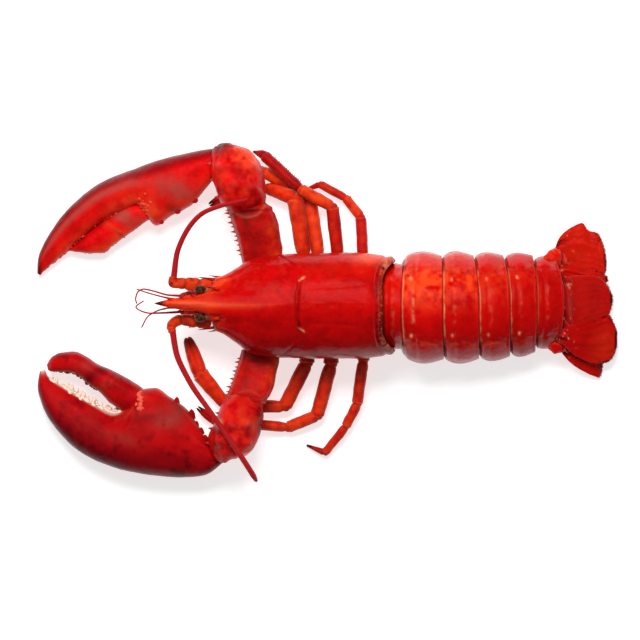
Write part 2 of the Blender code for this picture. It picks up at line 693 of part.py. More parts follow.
# Walking legs as (x, y, z, radius) at each joint, from the belly to the tip
WALKING_LEGS = {
    "leg_1_right": [
        (-37, 16.2, 8.8, 3.4), (-38, 25, 9.0, 3.8), (-42.4, 54, 9.8, 3.9),
        (-56, 59, 5.2, 2.9), (-78, 54.6, 3.6, 2.6), (-85.3, 50.8, 2.6, 0.9),
    ],
    "leg_2_right": [
        (-29.8, 16.2, 8.4, 3.0), (-30.6, 25, 7.0, 3.2), (-35.0, 54, 4.0, 3.0),
        (-57.5, 67.2, 3.6, 2.9), (-74, 70, 3.0, 2.2), (-82, 66.5, 1.4, 0.6),
    ],
    "leg_3_right": [
        (-20.6, 15.6, 8.6, 3.0), (-21, 25, 8.8, 3.3), (-23.8, 49.6, 11.4, 3.0),
        (-39.5, 58.4, 12.8, 2.8), (-58, 75.6, 8.6, 2.6), (-63.4, 77.4, 7.4, 0.6),
    ],
    "leg_4_right": [
        (-9, 14.6, 9.4, 2.6), (-8.6, 25, 9.4, 2.8), (-9.6, 44.5, 8.6, 2.5),
        (-17, 54, 6.6, 2.2), (-29.8, 61, 4.0, 1.9), (-38, 58, 1.4, 0.5),
    ],
    "leg_1_left": [
        (-36, -16.4, 9, 3.4), (-36.6, -28, 9, 3.7), (-47.6, -50, 6.2, 3.2),
        (-76.5, -49.6, 4.6, 3.1), (-90, -33.5, 5.4, 4.0), (-96.2, -15.4, 5.2, 2.7),
    ],
    "leg_2_left": [
        (-24.6, -16.4, 9, 3.2), (-24.4, -28.5, 8.6, 3.6), (-31.4, -54.4, 6.4, 3.2),
        (-46, -60.4, 4.4, 2.8), (-83, -57, 3.9, 2.4), (-91.4, -50.2, 4.6, 1.0),
    ],
    "leg_3_left": [
        (-15.6, -15.0, 8.6, 2.8), (-15.2, -22.5, 8.4, 3.2), (-20.5, -17.6, 2.8, 2.4),
        (-36, -17.0, 2.4, 2.0), (-52, -16.8, 2.0, 1.6), (-58, -16.0, 1.2, 0.5),
    ],
    "leg_4_left": [
        (-8, -14.6, 9.2, 2.6), (-8.4, -27, 9.2, 2.9), (-11.4, -48.5, 7.6, 2.6),
        (-17, -59.8, 6.0, 2.2), (-27.4, -73, 3.4, 2.0), (-36.6, -69.4, 1.4, 0.5),
    ],
}

# Feelers as (x, y, z, radius)
PEDUNCLES = {
    "feeler_base_right": [
        (-83.2, 9.4, 26.4, 3.4), (-90, 10.6, 26.4, 3.5), (-97, 11.2, 26.8, 2.9), (-103.2, 11.8, 27, 2.2),
    ],
    "feeler_base_left": [
        (-83.9, -7.4, 26.4, 3.4), (-91, -7.2, 26.2, 3.4), (-99, -6.6, 26.4, 2.8), (-103.9, -9.8, 26.6, 2.2),
    ],
}
FLAGELLA = {
    "feeler_right": [
        (-102.6, 14.6, 27.2, 1.6), (-101.2, 25.5, 28.2, 1.4), (-95.2, 39, 30.2, 1.3),
        (-87.6, 46.6, 32.6, 1.2), (-79, 49.9, 35.0, 1.1), (-66, 53.0, 37.6, 0.9),
    ],
    "feeler_left": [
        (-103.2, -12.6, 26.6, 1.6), (-101.4, -23, 27.4, 1.5), (-94.6, -37.6, 30.6, 1.4),
        (-83, -54.2, 36.4, 1.3), (-70.6, -72, 38.6, 1.2), (-63.4, -83.4, 34.6, 1.0),
        (-61.6, -86.6, 32.0, 0.8), (-62.2, -86.4, 29.6, 0.7), (-66, -80.6, 27.4, 0.6),
        (-69.4, -75.6, 26.6, 0.4),
    ],
}
ANTENNULES = {
    "antennule_right_outer": [
        (-97.4, 5.2, 31.6, 0.75), (-105, 5.6, 31, 0.5), (-112.5, 7.6, 30, 0.42), (-117.5, 8.6, 29, 0.4),
        (-120.6, 7, 28, 0.38), (-121.6, 3.6, 27, 0.36), (-121, 1.4, 26.4, 0.34),
    ],
    "antennule_right_inner": [
        (-97.4, 3.2, 32.0, 0.7), (-104, 3.9, 33, 0.5), (-110, 5.2, 33.4, 0.4), (-116, 6.9, 33, 0.36),
        (-121, 8.6, 32, 0.34),
    ],
    "antennule_left_outer": [
        (-97.4, -2.6, 31.6, 0.75), (-107.5, -3.2, 30.6, 0.5), (-114, -3.4, 29.2, 0.42),
        (-119, -2.2, 28, 0.38), (-121.4, -0.2, 27.4, 0.36), (-117.6, 2.8, 27, 0.34),
    ],
    "antennule_left_inner": [
        (-97.4, -0.6, 32.0, 0.7), (-104, -0.7, 32.6, 0.5), (-109, -1.6, 32.4, 0.4),
        (-115.4, -5, 31, 0.36), (-118.6, -10.5, 29, 0.34),
    ],
}
ANTENNULE_BASE = [  # x, z, radius
    (-85.8, 31.0, 1.7), (-90, 31.2, 1.8), (-94, 31.6, 1.5), (-96.9, 31.8, 1.2),
]
ANTENNULE_BASE_Y = {"right": 4.2, "left": -1.6}

# The front plate: x, half width, lower and upper height
FRONT_PLATE = [
    (-80, 5.6, 17.4, 30.0), (SOCKETS, 5.0, 18.0, 29.2), (-90, 4.2, 19.4, 28.8), (-94, 3.2, 21.6, 28.4),
    (-95.6, 1.8, 23.6, 27.4),
]

# Eyes on short stalks
EYE_Y = {"right": 8.2, "left": -5.3}
EYE_PLACE = (-89.4, 34.4)  # x and z
EYE_RADII = (3.0, 2.5, 2.5)
EYE_STALK = [  # x, share of the eye's distance from the midline, z, radius
    (-83.6, 0.72, 34.2, 1.3), (-86.0, 0.86, 34.3, 1.4),
]

# The pair of mouth legs under the head: x, distance from the midline, z, radius
MOUTH_LEG = [
    (-70, 5.5, 3.6, 2.4), (-80, 6.2, 7.6, 2.9), (-90, 5.2, 13.6, 2.5), (-97, 4.4, 18.8, 1.8),
    (-99.5, 4.2, 21.6, 0.7),
]
HEAD_MIDDLE = 1.1


def build_legs():
    for name, joints in WALKING_LEGS.items():
        tube(name, jointed(joints), "leg_shell")


def build_head_front(body):
    """The front plate under the beak, between the roots of the feelers."""
    rings = []
    for x, wide, bottom, top in FRONT_PLATE:
        middle = (x, axis_at(x), (bottom + top) / 2)
        rings.append(oval(middle, (0, wide, 0), (0, 0, (top - bottom) / 2), 12, 2.6))
    cut_clear(loft("head_front", rings, "underside"), *body)


def build_eye(word):
    bpy.ops.mesh.primitive_uv_sphere_add(segments=10, ring_count=7, radius=1)
    eye = bpy.context.object
    eye.name = f"eye_{word}"
    eye.location = Vector((EYE_PLACE[0], EYE_Y[word], EYE_PLACE[1])) * MM
    eye.scale = Vector(EYE_RADII) * MM
    eye.data.materials.append(finish_named("eye"))
    eye.data.shade_smooth()
    route = []
    for x, share, z, radius in EYE_STALK:
        route.append((x, HEAD_MIDDLE + (EYE_Y[word] - HEAD_MIDDLE) * share, z, radius))
    tube(f"eye_stalk_{word}", route, "leg_shell")


def build_head():
    for name, joints in PEDUNCLES.items():
        tube(name, jointed(joints, 1.06, 0.84, pointed=False), "leg_shell")
    for name, rows in FLAGELLA.items():
        tube(name, smooth_rows(rows, 2 * len(rows) + 3), "feeler", resolution=1)
    for name, rows in ANTENNULES.items():
        tube(name, smooth_rows(rows, 2 * len(rows) - 1), "feeler", resolution=1)
    for side, word in ((RIGHT, "right"), (LEFT, "left")):
        route = [(x, ANTENNULE_BASE_Y[word], z, radius) for x, z, radius in ANTENNULE_BASE]
        tube(f"antennule_base_{word}", jointed(route, 1.05, 0.86, pointed=False), "leg_shell", resolution=1)
        build_eye(word)
        route = [(x, HEAD_MIDDLE + side * out, z, radius) for x, out, z, radius in MOUTH_LEG]
        tube(f"mouth_leg_{word}", jointed(route, 1.06, 0.8), "leg_shell", resolution=1)


def centre_on_foot():
    """Moves everything so that the origin is under the middle of the whole."""
    bpy.context.view_layer.update()
    graph = bpy.context.evaluated_depsgraph_get()
    corners = []
    pieces = [o for o in bpy.data.objects if o.type in ("MESH", "CURVE")]
    for piece in pieces:
        mesh = piece.evaluated_get(graph).to_mesh()
        corners += [piece.matrix_world @ v.co for v in mesh.vertices]
        piece.evaluated_get(graph).to_mesh_clear()
    spread = np.array(corners)
    low, high = spread.min(axis=0), spread.max(axis=0)
    root = bpy.data.objects.new("lobster_root", None)
    collection_named("lobster").objects.link(root)
    for piece in pieces:
        piece.parent = root
    root.location = (-(low[0] + high[0]) / 2, -(low[1] + high[1]) / 2, -low[2])


def main():
    clear_scene()
    carapace = build_carapace()
    thorax = build_thorax()
    somites = build_somites()
    cut_clear(somites[0], carapace)
    build_tail_fan(somites[-1])
    body = (carapace, thorax)
    for side in (RIGHT, LEFT):
        build_arm(side, body)
        arm = bpy.data.objects["claw_arm_right" if side == RIGHT else "claw_arm_left"]
        build_arm_root(side, body, arm)
    build_legs()
    build_head_front(body)
    build_head()
    centre_on_foot()


main()
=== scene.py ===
import math

import bpy
import numpy as np
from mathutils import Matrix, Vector


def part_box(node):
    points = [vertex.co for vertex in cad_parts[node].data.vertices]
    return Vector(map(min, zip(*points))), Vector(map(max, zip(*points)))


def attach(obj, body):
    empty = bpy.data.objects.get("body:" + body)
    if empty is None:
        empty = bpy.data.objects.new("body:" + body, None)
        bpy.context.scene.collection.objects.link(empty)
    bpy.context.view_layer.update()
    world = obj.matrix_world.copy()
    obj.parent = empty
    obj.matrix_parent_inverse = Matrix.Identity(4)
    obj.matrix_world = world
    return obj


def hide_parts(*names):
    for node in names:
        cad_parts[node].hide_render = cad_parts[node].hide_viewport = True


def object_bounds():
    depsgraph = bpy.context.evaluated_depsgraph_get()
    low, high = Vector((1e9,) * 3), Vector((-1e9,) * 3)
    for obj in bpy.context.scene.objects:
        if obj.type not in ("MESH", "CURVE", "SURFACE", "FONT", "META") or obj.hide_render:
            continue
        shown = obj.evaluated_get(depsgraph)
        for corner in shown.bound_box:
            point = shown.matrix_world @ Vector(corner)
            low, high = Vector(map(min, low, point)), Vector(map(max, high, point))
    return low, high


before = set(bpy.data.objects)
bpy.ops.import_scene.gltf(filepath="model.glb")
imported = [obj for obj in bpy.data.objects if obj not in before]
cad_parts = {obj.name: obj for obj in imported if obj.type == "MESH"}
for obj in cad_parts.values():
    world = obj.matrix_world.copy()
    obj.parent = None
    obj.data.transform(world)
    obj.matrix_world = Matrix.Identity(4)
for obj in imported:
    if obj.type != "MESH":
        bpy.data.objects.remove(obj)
cadLow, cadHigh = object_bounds()
print("frame loaded,", len(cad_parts), "nodes")

# Tables are in millimetres and count from the table top under the carapace's rear edge
mm = 0.001
clawTipX = -171.2
midlineY = 0.4
boxGap = 0.02  # pieces stay this far inside the box round all the parts
shellLow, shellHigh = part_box("carapace")
home = np.array([cadLow.x / mm - clawTipX, (shellLow.y + shellHigh.y) / 2 / mm - midlineY, 0.0])
lowCorner = np.array(cadLow) / mm - home + boxGap
highCorner = np.array(cadHigh) / mm - home - boxGap
right, left = 1, -1
words = {right: "right", left: "left"}


# Node trees

class Wire:
    # a socket that can be reckoned with
    def __init__(self, tree, socket):
        self.tree = tree
        self.socket = socket

    def math(self, operation, first, second=0.0, clamp=False):
        settings = {"operation": operation, "use_clamp": clamp}
        return self.tree.node("ShaderNodeMath", settings, {0: first, 1: second})

    def __add__(self, other):
        return self.math("ADD", self, other)

    def __radd__(self, other):
        return self.math("ADD", other, self)

    def __sub__(self, other):
        return self.math("SUBTRACT", self, other)

    def __rsub__(self, other):
        return self.math("SUBTRACT", other, self)

    def __mul__(self, other):
        return self.math("MULTIPLY", self, other)

    def __rmul__(self, other):
        return self.math("MULTIPLY", other, self)

    def __truediv__(self, other):
        return self.math("DIVIDE", self, other)

    def clamped(self):
        return self.math("ADD", self, 0.0, clamp=True)

    def between(self, low, high):
        # 0 below low, 1 above high, smooth in between
        sockets = {"Value": self, "From Min": low, "From Max": high}
        return self.tree.node("ShaderNodeMapRange", {"interpolation_type": "SMOOTHSTEP"}, sockets)

    def other(self, name):
        return Wire(self.tree, self.socket.node.outputs[name])


class Tree:
    # a node tree whose nodes are added one by one, each with its settings first
    def __init__(self, tree):
        self.tree = tree

    def node(self, kind, settings=None, sockets=None, out=0):
        made = self.tree.nodes.new(kind)
        for key, value in (settings or {}).items():
            setattr(made, key, value)
        for key, value in (sockets or {}).items():
            if isinstance(value, Wire):
                self.tree.links.new(value.socket, made.inputs[key])
            else:
                made.inputs[key].default_value = value
        return Wire(self, made.outputs[out]) if made.outputs else made

    def noise(self, place, size, detail=2.0, roughness=0.5):
        # smooth noise whose patches are about size millimetres wide
        sockets = {"Vector": place, "Scale": 1 / (size * mm), "Detail": detail, "Roughness": roughness}
        return self.node("ShaderNodeTexNoise", None, sockets)

    def cells(self, place, size):
        # the distance to the middle of cells about size millimetres wide
        sockets = {"Vector": place, "Scale": 1 / (size * mm)}
        return self.node("ShaderNodeTexVoronoi", None, sockets, "Distance")

    def blend(self, factor, first, second):
        # sockets 6 and 7 are the colours of a Mix node and output 2 its colour
        return self.node("ShaderNodeMix", {"data_type": "RGBA"}, {0: factor, 6: first, 7: second}, 2)

    def place(self):
        return self.node("ShaderNodeTexCoord", out="Object")

    def bump(self, height, strength, depth):
        sockets = {"Strength": strength, "Distance": depth * mm, "Height": height}
        return self.node("ShaderNodeBump", None, sockets)

    def surface(self, sockets):
        shader = self.node("ShaderNodeBsdfPrincipled", None, sockets)
        self.node("ShaderNodeOutputMaterial", None, {"Surface": shader})


def newPaint(name):
    # a material without nodes, and the tree to add them to
    material = bpy.data.materials.new(name)
    material.use_nodes = True
    material.node_tree.nodes.clear()
    return material, Tree(material.node_tree)


def newGroup(name, sizes):
    # a geometry tree with named inputs: the mesh to work on, the sizes given, and the finish
    group = bpy.data.node_groups.new(name, "GeometryNodeTree")
    for socket, kind in {"Geometry": "Geometry", **sizes, "Finish": "Material"}.items():
        group.interface.new_socket(socket, in_out="INPUT", socket_type="NodeSocket" + kind)
    group.interface.new_socket("Geometry", in_out="OUTPUT", socket_type="NodeSocketGeometry")
    tree = Tree(group)
    return group, tree, tree.node("NodeGroupInput")


def endGroup(tree, inputs, geometry):
    # every tree ends in real geometry with its finish
    real = tree.node("GeometryNodeRealizeInstances", None, {"Geometry": geometry})
    done = tree.node("GeometryNodeSetMaterial", None, {"Geometry": real, "Material": inputs.other("Finish")})
    tree.node("NodeGroupOutput", None, {"Geometry": done})


def runGroup(item, group, sizes, *helpers):
    # sets the inputs by their identifiers and turns what the tree makes into a plain mesh
    modifier = item.modifiers.new(group.name, "NODES")
    modifier.node_group = group
    for socket in group.interface.items_tree:
        if socket.in_out == "INPUT" and socket.name in sizes:
            modifier[socket.identifier] = sizes[socket.name]
    graph = bpy.context.evaluated_depsgraph_get()
    shown = item.evaluated_get(graph)
    made = bpy.data.meshes.new_from_object(shown, preserve_all_data_layers=True, depsgraph=graph)
    item.modifiers.clear()
    item.data = made
    for helper in helpers:
        bpy.data.objects.remove(helper)


# Finishes. Each mesh says in its "tone" attribute how pale, dark, orange and dull it is where

finishes = {
    "shell": {
        "deep": (0.50, 0.0004, 0.0006), "bright": (0.66, 0.0010, 0.0010),
        "orange": (0.93, 0.060, 0.010), "pale": (0.90, 0.34, 0.17),
        "dark": (0.080, 0.001, 0.002), "dull": (0.37, 0.044, 0.047),
        "blotch": 9.0, "grain": 1.6, "pore": 1.1,
        "roughness": 0.22, "coat": 0.04, "specular": 0.20, "bump": 0.22,
    },
    "clawShell": {
        "deep": (0.54, 0.0012, 0.0018), "bright": (0.79, 0.0040, 0.0040),
        "orange": (0.88, 0.050, 0.014), "pale": (0.94, 0.76, 0.62),
        "dark": (0.090, 0.001, 0.004), "dull": (0.45, 0.048, 0.036),
        "blotch": 12.0, "grain": 1.8, "pore": 1.0,
        "roughness": 0.30, "coat": 0.03, "specular": 0.10, "bump": 0.18,
    },
    "legShell": {
        "deep": (0.44, 0.0015, 0.0015), "bright": (0.66, 0.005, 0.002),
        "orange": (0.82, 0.060, 0.006), "pale": (0.88, 0.34, 0.15),
        "dark": (0.055, 0.003, 0.004), "dull": (0.36, 0.03, 0.02),
        "blotch": 6.0, "grain": 1.2, "pore": 0.8,
        "roughness": 0.38, "coat": 0.08, "specular": 0.22, "bump": 0.22,
    },
    "underside": {
        "deep": (0.55, 0.03, 0.01), "bright": (0.80, 0.12, 0.04),
        "orange": (0.90, 0.22, 0.06), "pale": (0.84, 0.55, 0.33),
        "dark": (0.10, 0.02, 0.01), "dull": (0.5, 0.2, 0.12),
        "blotch": 6.0, "grain": 1.4, "pore": 0.9,
        "roughness": 0.48, "coat": 0.1, "specular": 0.3, "bump": 0.35,
    },
    "feeler": {
        "deep": (0.36, 0.002, 0.006), "bright": (0.58, 0.008, 0.010),
        "orange": (0.72, 0.04, 0.015), "pale": (0.80, 0.20, 0.12),
        "dark": (0.07, 0.002, 0.004), "dull": (0.43, 0.008, 0.011),
        "blotch": 7.0, "grain": 1.0, "pore": 0.6,
        "roughness": 0.34, "coat": 0.0, "specular": 0.2, "bump": 0.12,
    },
    "skin": {
        "deep": (0.16, 0.045, 0.012), "bright": (0.48, 0.15, 0.035),
        "orange": (0.80, 0.13, 0.03), "pale": (0.88, 0.48, 0.22),
        "dark": (0.06, 0.02, 0.008), "dull": (0.3, 0.12, 0.04),
        "blotch": 2.4, "grain": 0.9, "pore": 0.7,
        "roughness": 0.5, "coat": 0.1, "specular": 0.3, "bump": 0.5,
    },
}


def shellPaint(name, look):
    material, paint = newPaint(name)
    hue = {key: (*value, 1.0) for key, value in look.items() if isinstance(value, tuple)}
    place = paint.place()
    tone = paint.node("ShaderNodeAttribute", {"attribute_name": "tone"}, out="Color")
    pale = paint.node("ShaderNodeSeparateColor", None, {"Color": tone}, "Red")
    dark, orange, dull = pale.other("Green"), pale.other("Blue"), tone.other("Alpha")
    blotch = paint.noise(place, look["blotch"], 4.0, 0.6)
    grain = paint.noise(place, look["grain"], 2.0, 0.6)
    speckle = paint.noise(place, look["grain"] * 2.2, 3.0, 0.7)
    pore = paint.cells(place, look["pore"]).between(0.05, 0.55)
    # the shell's own red in blotches, then what the tone adds, the palest last
    body = paint.blend((blotch * 0.7 + grain * 0.3).between(0.36, 0.62), hue["deep"], hue["bright"])
    body = paint.blend((orange * (0.45 + speckle * 1.1)).clamped(), body, hue["orange"])
    body = paint.blend((dull * (0.5 + speckle)).clamped(), body, hue["dull"])
    flecks = (1 - paint.cells(place, look["pore"] * 3.1).between(0.04, 0.22)) * speckle.between(0.5, 0.62)
    body = paint.blend(flecks * 0.06, body, hue["orange"])
    body = paint.blend((dark * (0.75 + grain * 0.5)).clamped(), body, hue["dark"])
    body = paint.blend((pale * (0.5 + grain * 1.0)).clamped(), body, hue["pale"])
    gloss = look["roughness"] + (grain - 0.5) * 0.12 + pale * 0.18 + dull * 0.12
    height = grain * 0.5 + pore * 0.35 + speckle * 0.3
    paint.surface({
        "Base Color": body, "Roughness": gloss.clamped(), "Normal": paint.bump(height, look["bump"], 0.5),
        "Coat Weight": look["coat"], "Coat Roughness": 0.25, "Specular IOR Level": look["specular"],
    })
    return material


eyeLook = {
    "black": (0.030, 0.008, 0.004, 1.0), "brown": (0.14, 0.035, 0.010, 1.0), "cloud": 1.5, "facet": 0.28,
    "roughness": 0.25, "coat": 0.1, "bump": 0.12,
}


def eyePaint():
    material, paint = newPaint("eye")
    place = paint.place()
    facets = paint.cells(place, eyeLook["facet"]).between(0.1, 0.6)
    cloud = paint.noise(place, eyeLook["cloud"], 2.0)
    paint.surface({
        "Base Color": paint.blend(cloud.between(0.4, 0.65), eyeLook["black"], eyeLook["brown"]),
        "Roughness": cloud * 0.2 + eyeLook["roughness"], "Normal": paint.bump(facets, eyeLook["bump"], 0.1),
        "Coat Weight": eyeLook["coat"],
    })
    return material


paints = {name: shellPaint(name, look) for name, look in finishes.items()}
paints["eye"] = eyePaint()
print("finishes made:", len(paints))


# Shapes

def smoothKeys(keys, places):
    # smooth curves through rows of (place, value, value ...), with no overshoot
    table = np.array(keys, float)
    at, values = table[:, 0], table[:, 1:]
    gaps = np.diff(at)
    slopes = np.diff(values, axis=0) / gaps[:, None]
    sameWay = slopes[:-1] * slopes[1:] > 0
    tangents = np.zeros_like(values)
    total = np.where(sameWay, slopes[:-1] + slopes[1:], 1)
    tangents[1:-1] = np.where(sameWay, 2 * slopes[:-1] * slopes[1:] / total, 0)
    tangents[0], tangents[-1] = slopes[0], slopes[-1]
    places = np.clip(np.asarray(places, float), at[0], at[-1])
    i = np.clip(np.searchsorted(at, places, side="right") - 1, 0, len(at) - 2)
    gap = gaps[i][..., None]
    t = ((places - at[i]) / gaps[i])[..., None]
    result = values[i] * (1 + 2 * t) * (1 - t) ** 2 + tangents[i] * gap * t * (1 - t) ** 2
    result += values[i + 1] * t * t * (3 - 2 * t) + tangents[i + 1] * gap * t * t * (t - 1)
    return result[..., 0] if values.shape[1] == 1 else result


def alongRows(rows, shares):
    # rows read smoothly at shares of the way from the first to the last
    keys = [(i, *row) for i, row in enumerate(rows)]
    return smoothKeys(keys, np.asarray(shares) * (len(rows) - 1))


def step(value, low, high):
    # 0 below low, 1 above high, smooth in between
    t = np.clip((value - low) / (high - low), 0, 1)
    return t * t * (3 - 2 * t)


def bell(value, width):
    # 1 at nought, dying away within about twice the width
    return np.exp(-((value / width) ** 2))


def signedPower(value, exponent):
    return np.sign(value) * np.abs(value) ** exponent


def ripple(points, size, seed, octaves=1):
    # smooth random values between -1 and 1, in lumps of about size millimetres
    total, weight = 0.0, 1.0
    for octave in range(octaves):
        cells = points / size + seed * 7.31
        base = np.floor(cells).astype(np.int64)
        t = cells - base
        t = t * t * (3 - 2 * t)
        for corner in np.ndindex(2, 2, 2):
            c = base + corner
            mixed = (c[..., 0] * 73856093) ^ (c[..., 1] * 19349663) ^ (c[..., 2] * 83492791)
            mixed ^= seed * 40503 + octave
            mixed = ((mixed ^ (mixed >> 13)) * 1274126177) & 0xFFFFFF
            share = np.prod(np.where(corner, t, 1 - t), axis=-1)
            total = total + weight * share * (mixed / 0x7FFFFF - 1)
        size, weight = size * 0.5, weight * 0.5
    return total


def outward(grid):
    # the direction out of the surface at each point
    along = np.gradient(grid, axis=0)
    around = np.roll(grid, -1, axis=1) - np.roll(grid, 1, axis=1)
    normal = np.cross(along, around)
    normal /= np.maximum(np.linalg.norm(normal, axis=2, keepdims=True), 1e-9)
    middle = grid.mean(axis=1, keepdims=True)
    return normal * np.sign(((grid - middle) * normal).sum())


def swell(grid, height):
    # moves each point out of the surface by its own height
    return grid + outward(grid) * height[..., None]


def blurred(values, width):
    # a running mean with soft ends; width is in rows
    if width < 0.5:
        return values
    reach = int(width * 3)
    weights = np.exp(-((np.arange(-reach, reach + 1) / width) ** 2))
    weights /= weights.sum()
    before, after = 2 * values[0] - values[reach:0:-1], 2 * values[-1] - values[-2:-reach - 2:-1]
    padded = np.concatenate([before, values, after])
    return np.stack([np.convolve(row, weights, mode="valid") for row in padded.T], axis=1)


def circle(count, start=0.0):
    # angles round a ring; start is a share of one step
    return 2 * np.pi * (np.arange(count) + start) / count


class Tone:
    # how pale, dark, orange and dull each point of a grid is
    def __init__(self, grid, pale=0.0, dark=0.0, orange=0.0, dull=0.0):
        blank = np.zeros(grid.shape[:2])
        self.pale, self.dark, self.orange, self.dull = (blank + value for value in (pale, dark, orange, dull))

    def table(self):
        return np.stack([self.pale, self.dark, self.orange, self.dull], axis=-1)


def addObject(name, data):
    item = bpy.data.objects.new(name, data)
    bpy.context.scene.collection.objects.link(item)
    return item


def meshOf(name, grids, tones, finish, kept=True):
    # one mesh from closed grids of rings, each capped at both ends and kept inside the box round all the
    # parts
    verts, faces, colours = [], [], []
    start = 0
    for grid, tone in zip(grids, tones):
        rings, sides = grid.shape[:2]
        number = np.arange(rings * sides).reshape(rings, sides) + start
        ahead = np.roll(number, -1, axis=1)
        quads = np.stack([number[:-1], ahead[:-1], ahead[1:], number[1:]], axis=-1).reshape(-1, 4)
        ends = start + rings * sides
        firstCap = np.stack([ahead[0], number[0], np.full(sides, ends)], axis=-1)
        lastCap = np.stack([number[-1], ahead[-1], np.full(sides, ends + 1)], axis=-1)
        points = np.concatenate([grid.reshape(-1, 3), grid[[0, -1]].mean(axis=1)])
        middle = grid.mean(axis=1, keepdims=True)
        normal = np.cross(np.roll(grid, -1, axis=1)[:-1] - grid[:-1], grid[1:] - grid[:-1])
        if ((grid[:-1] - middle[:-1]) * normal).sum() < 0:
            quads, firstCap, lastCap = quads[:, ::-1], firstCap[:, ::-1], lastCap[:, ::-1]
        verts.append(points)
        faces += quads.tolist() + firstCap.tolist() + lastCap.tolist()
        table = tone.table()
        colours.append(np.concatenate([table.reshape(-1, 4), table[[0, -1]].mean(axis=1)]))
        start += len(points)
    places = np.concatenate(verts)
    if kept:
        places = np.clip(places, lowCorner, highCorner)
    mesh = bpy.data.meshes.new(name)
    mesh.from_pydata(((places + home) * mm).tolist(), [], faces)
    attribute = mesh.color_attributes.new("tone", "FLOAT_COLOR", "POINT")
    attribute.data.foreach_set("color", np.clip(np.concatenate(colours), 0, 1).astype(np.float32).ravel())
    mesh.shade_smooth()
    mesh.materials.append(paints[finish])
    return addObject(name, mesh)


def handIn(item, node):
    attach(item, "root")
    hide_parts(node)


# Spines, teeth and bristles grow out of seed points

def growTree():
    sizes = {"Seeds": "Object", "Spine": "Object", "Girth": "Float", "Length": "Float", "Unevenness": "Float",
             "Seed": "Int"}
    group, grow, inputs = newGroup("grow spines", sizes)
    seeds = grow.node("GeometryNodeObjectInfo", {"transform_space": "ORIGINAL"},
                      {"Object": inputs.other("Seeds")}, "Geometry")
    spine = grow.node("GeometryNodeObjectInfo", None,
                      {"Object": inputs.other("Spine"), "As Instance": True}, "Geometry")
    vector = {"data_type": "FLOAT_VECTOR"}
    aim = grow.node("GeometryNodeInputNamedAttribute", vector, {"Name": "aim"})
    size = grow.node("GeometryNodeInputNamedAttribute", vector, {"Name": "size"})
    spread = inputs.other("Unevenness")
    chance = grow.node("FunctionNodeRandomValue", {"data_type": "FLOAT"},
                       {2: 1 - spread, 3: 1 + spread, "Seed": inputs.other("Seed")}, 1)
    girth = inputs.other("Girth") * chance
    scale = grow.node("ShaderNodeCombineXYZ", None, {0: girth, 1: girth, 2: inputs.other("Length") * chance})
    scale = grow.node("ShaderNodeVectorMath", {"operation": "MULTIPLY"}, {0: scale, 1: size})
    turn = grow.node("FunctionNodeAlignRotationToVector", {"axis": "Z"}, {"Vector": aim})
    grown = grow.node("GeometryNodeInstanceOnPoints", None,
                      {"Points": seeds, "Instance": spine, "Rotation": turn, "Scale": scale})
    joined = group.nodes.new("GeometryNodeJoinGeometry")
    for part in (inputs.other("Geometry"), grown):
        group.links.new(part.socket, joined.inputs[0])
    endGroup(grow, inputs, Wire(grow, joined.outputs[0]))
    return group


spineTree = growTree()
hornProfile = [(-0.15, 1.0), (0.05, 0.86), (0.3, 0.58), (0.62, 0.32), (0.9, 0.12), (1.0, 0.02)]
knobProfile = [(-0.2, 1.05), (0.15, 1.0), (0.45, 0.88), (0.7, 0.70), (0.88, 0.46), (1.0, 0.12)]
hairProfile = [(-0.05, 1.0), (0.5, 0.7), (1.0, 0.08)]


def spineShape(profile, sides, foot, tip=None):
    # a spine of unit length along +Z: profile rows are (height, radius), foot and tip are tones
    grid = np.array([[(r * np.cos(a), r * np.sin(a), z) for a in circle(sides)] for z, r in profile])
    share = np.clip(grid[..., 2], 0, 1)
    tone = Tone(grid, *(low + (high - low) * share for low, high in zip(foot, tip or foot)))
    item = meshOf("spine shape", [grid], [tone], "shell", False)
    mesh = item.data
    places = np.empty(len(mesh.vertices) * 3)
    mesh.vertices.foreach_get("co", places)
    mesh.vertices.foreach_set("co", (places.reshape(-1, 3) / mm - home).ravel())
    return item


def grow(item, finish, seeds, shape, unevenness, seed):
    # seeds are (foot, tip, radius) in millimetres
    feet, tips = np.array([row[0] for row in seeds], float), np.array([row[1] for row in seeds], float)
    radii = np.array([row[2] for row in seeds], float)
    spare = radii[:, None] * 0.5 + 0.3
    feet = np.clip(feet, lowCorner + spare, highCorner - spare)
    ways = np.clip(tips, lowCorner + spare, highCorner - spare) - feet
    lengths = np.maximum(np.linalg.norm(ways, axis=1), 0.05)
    mesh = bpy.data.meshes.new("seeds")
    mesh.from_pydata(((feet + home) * mm).tolist(), [], [])
    sizes = np.stack([radii, radii, lengths], axis=1) * mm
    for name, values in (("aim", ways / lengths[:, None]), ("size", sizes)):
        attribute = mesh.attributes.new(name, "FLOAT_VECTOR", "POINT")
        attribute.data.foreach_set("vector", values.astype(np.float32).ravel())
    points = addObject("seeds", mesh)
    runGroup(item, spineTree, {
        "Seeds": points, "Spine": shape, "Girth": 1.0, "Length": 1.0, "Unevenness": unevenness, "Seed": seed,
        "Finish": paints[finish],
    }, points, shape)


def patch(grid, x, y, reachX, reachY, lean=0.0):
    # a soft spot as seen from above, leaning by an angle
    dx, dy = grid[..., 0] - x, grid[..., 1] - y
    c, s = math.cos(lean), math.sin(lean)
    return np.exp(-(((dx * c + dy * s) / reachX) ** 2 + ((dy * c - dx * s) / reachY) ** 2))


# Carapace

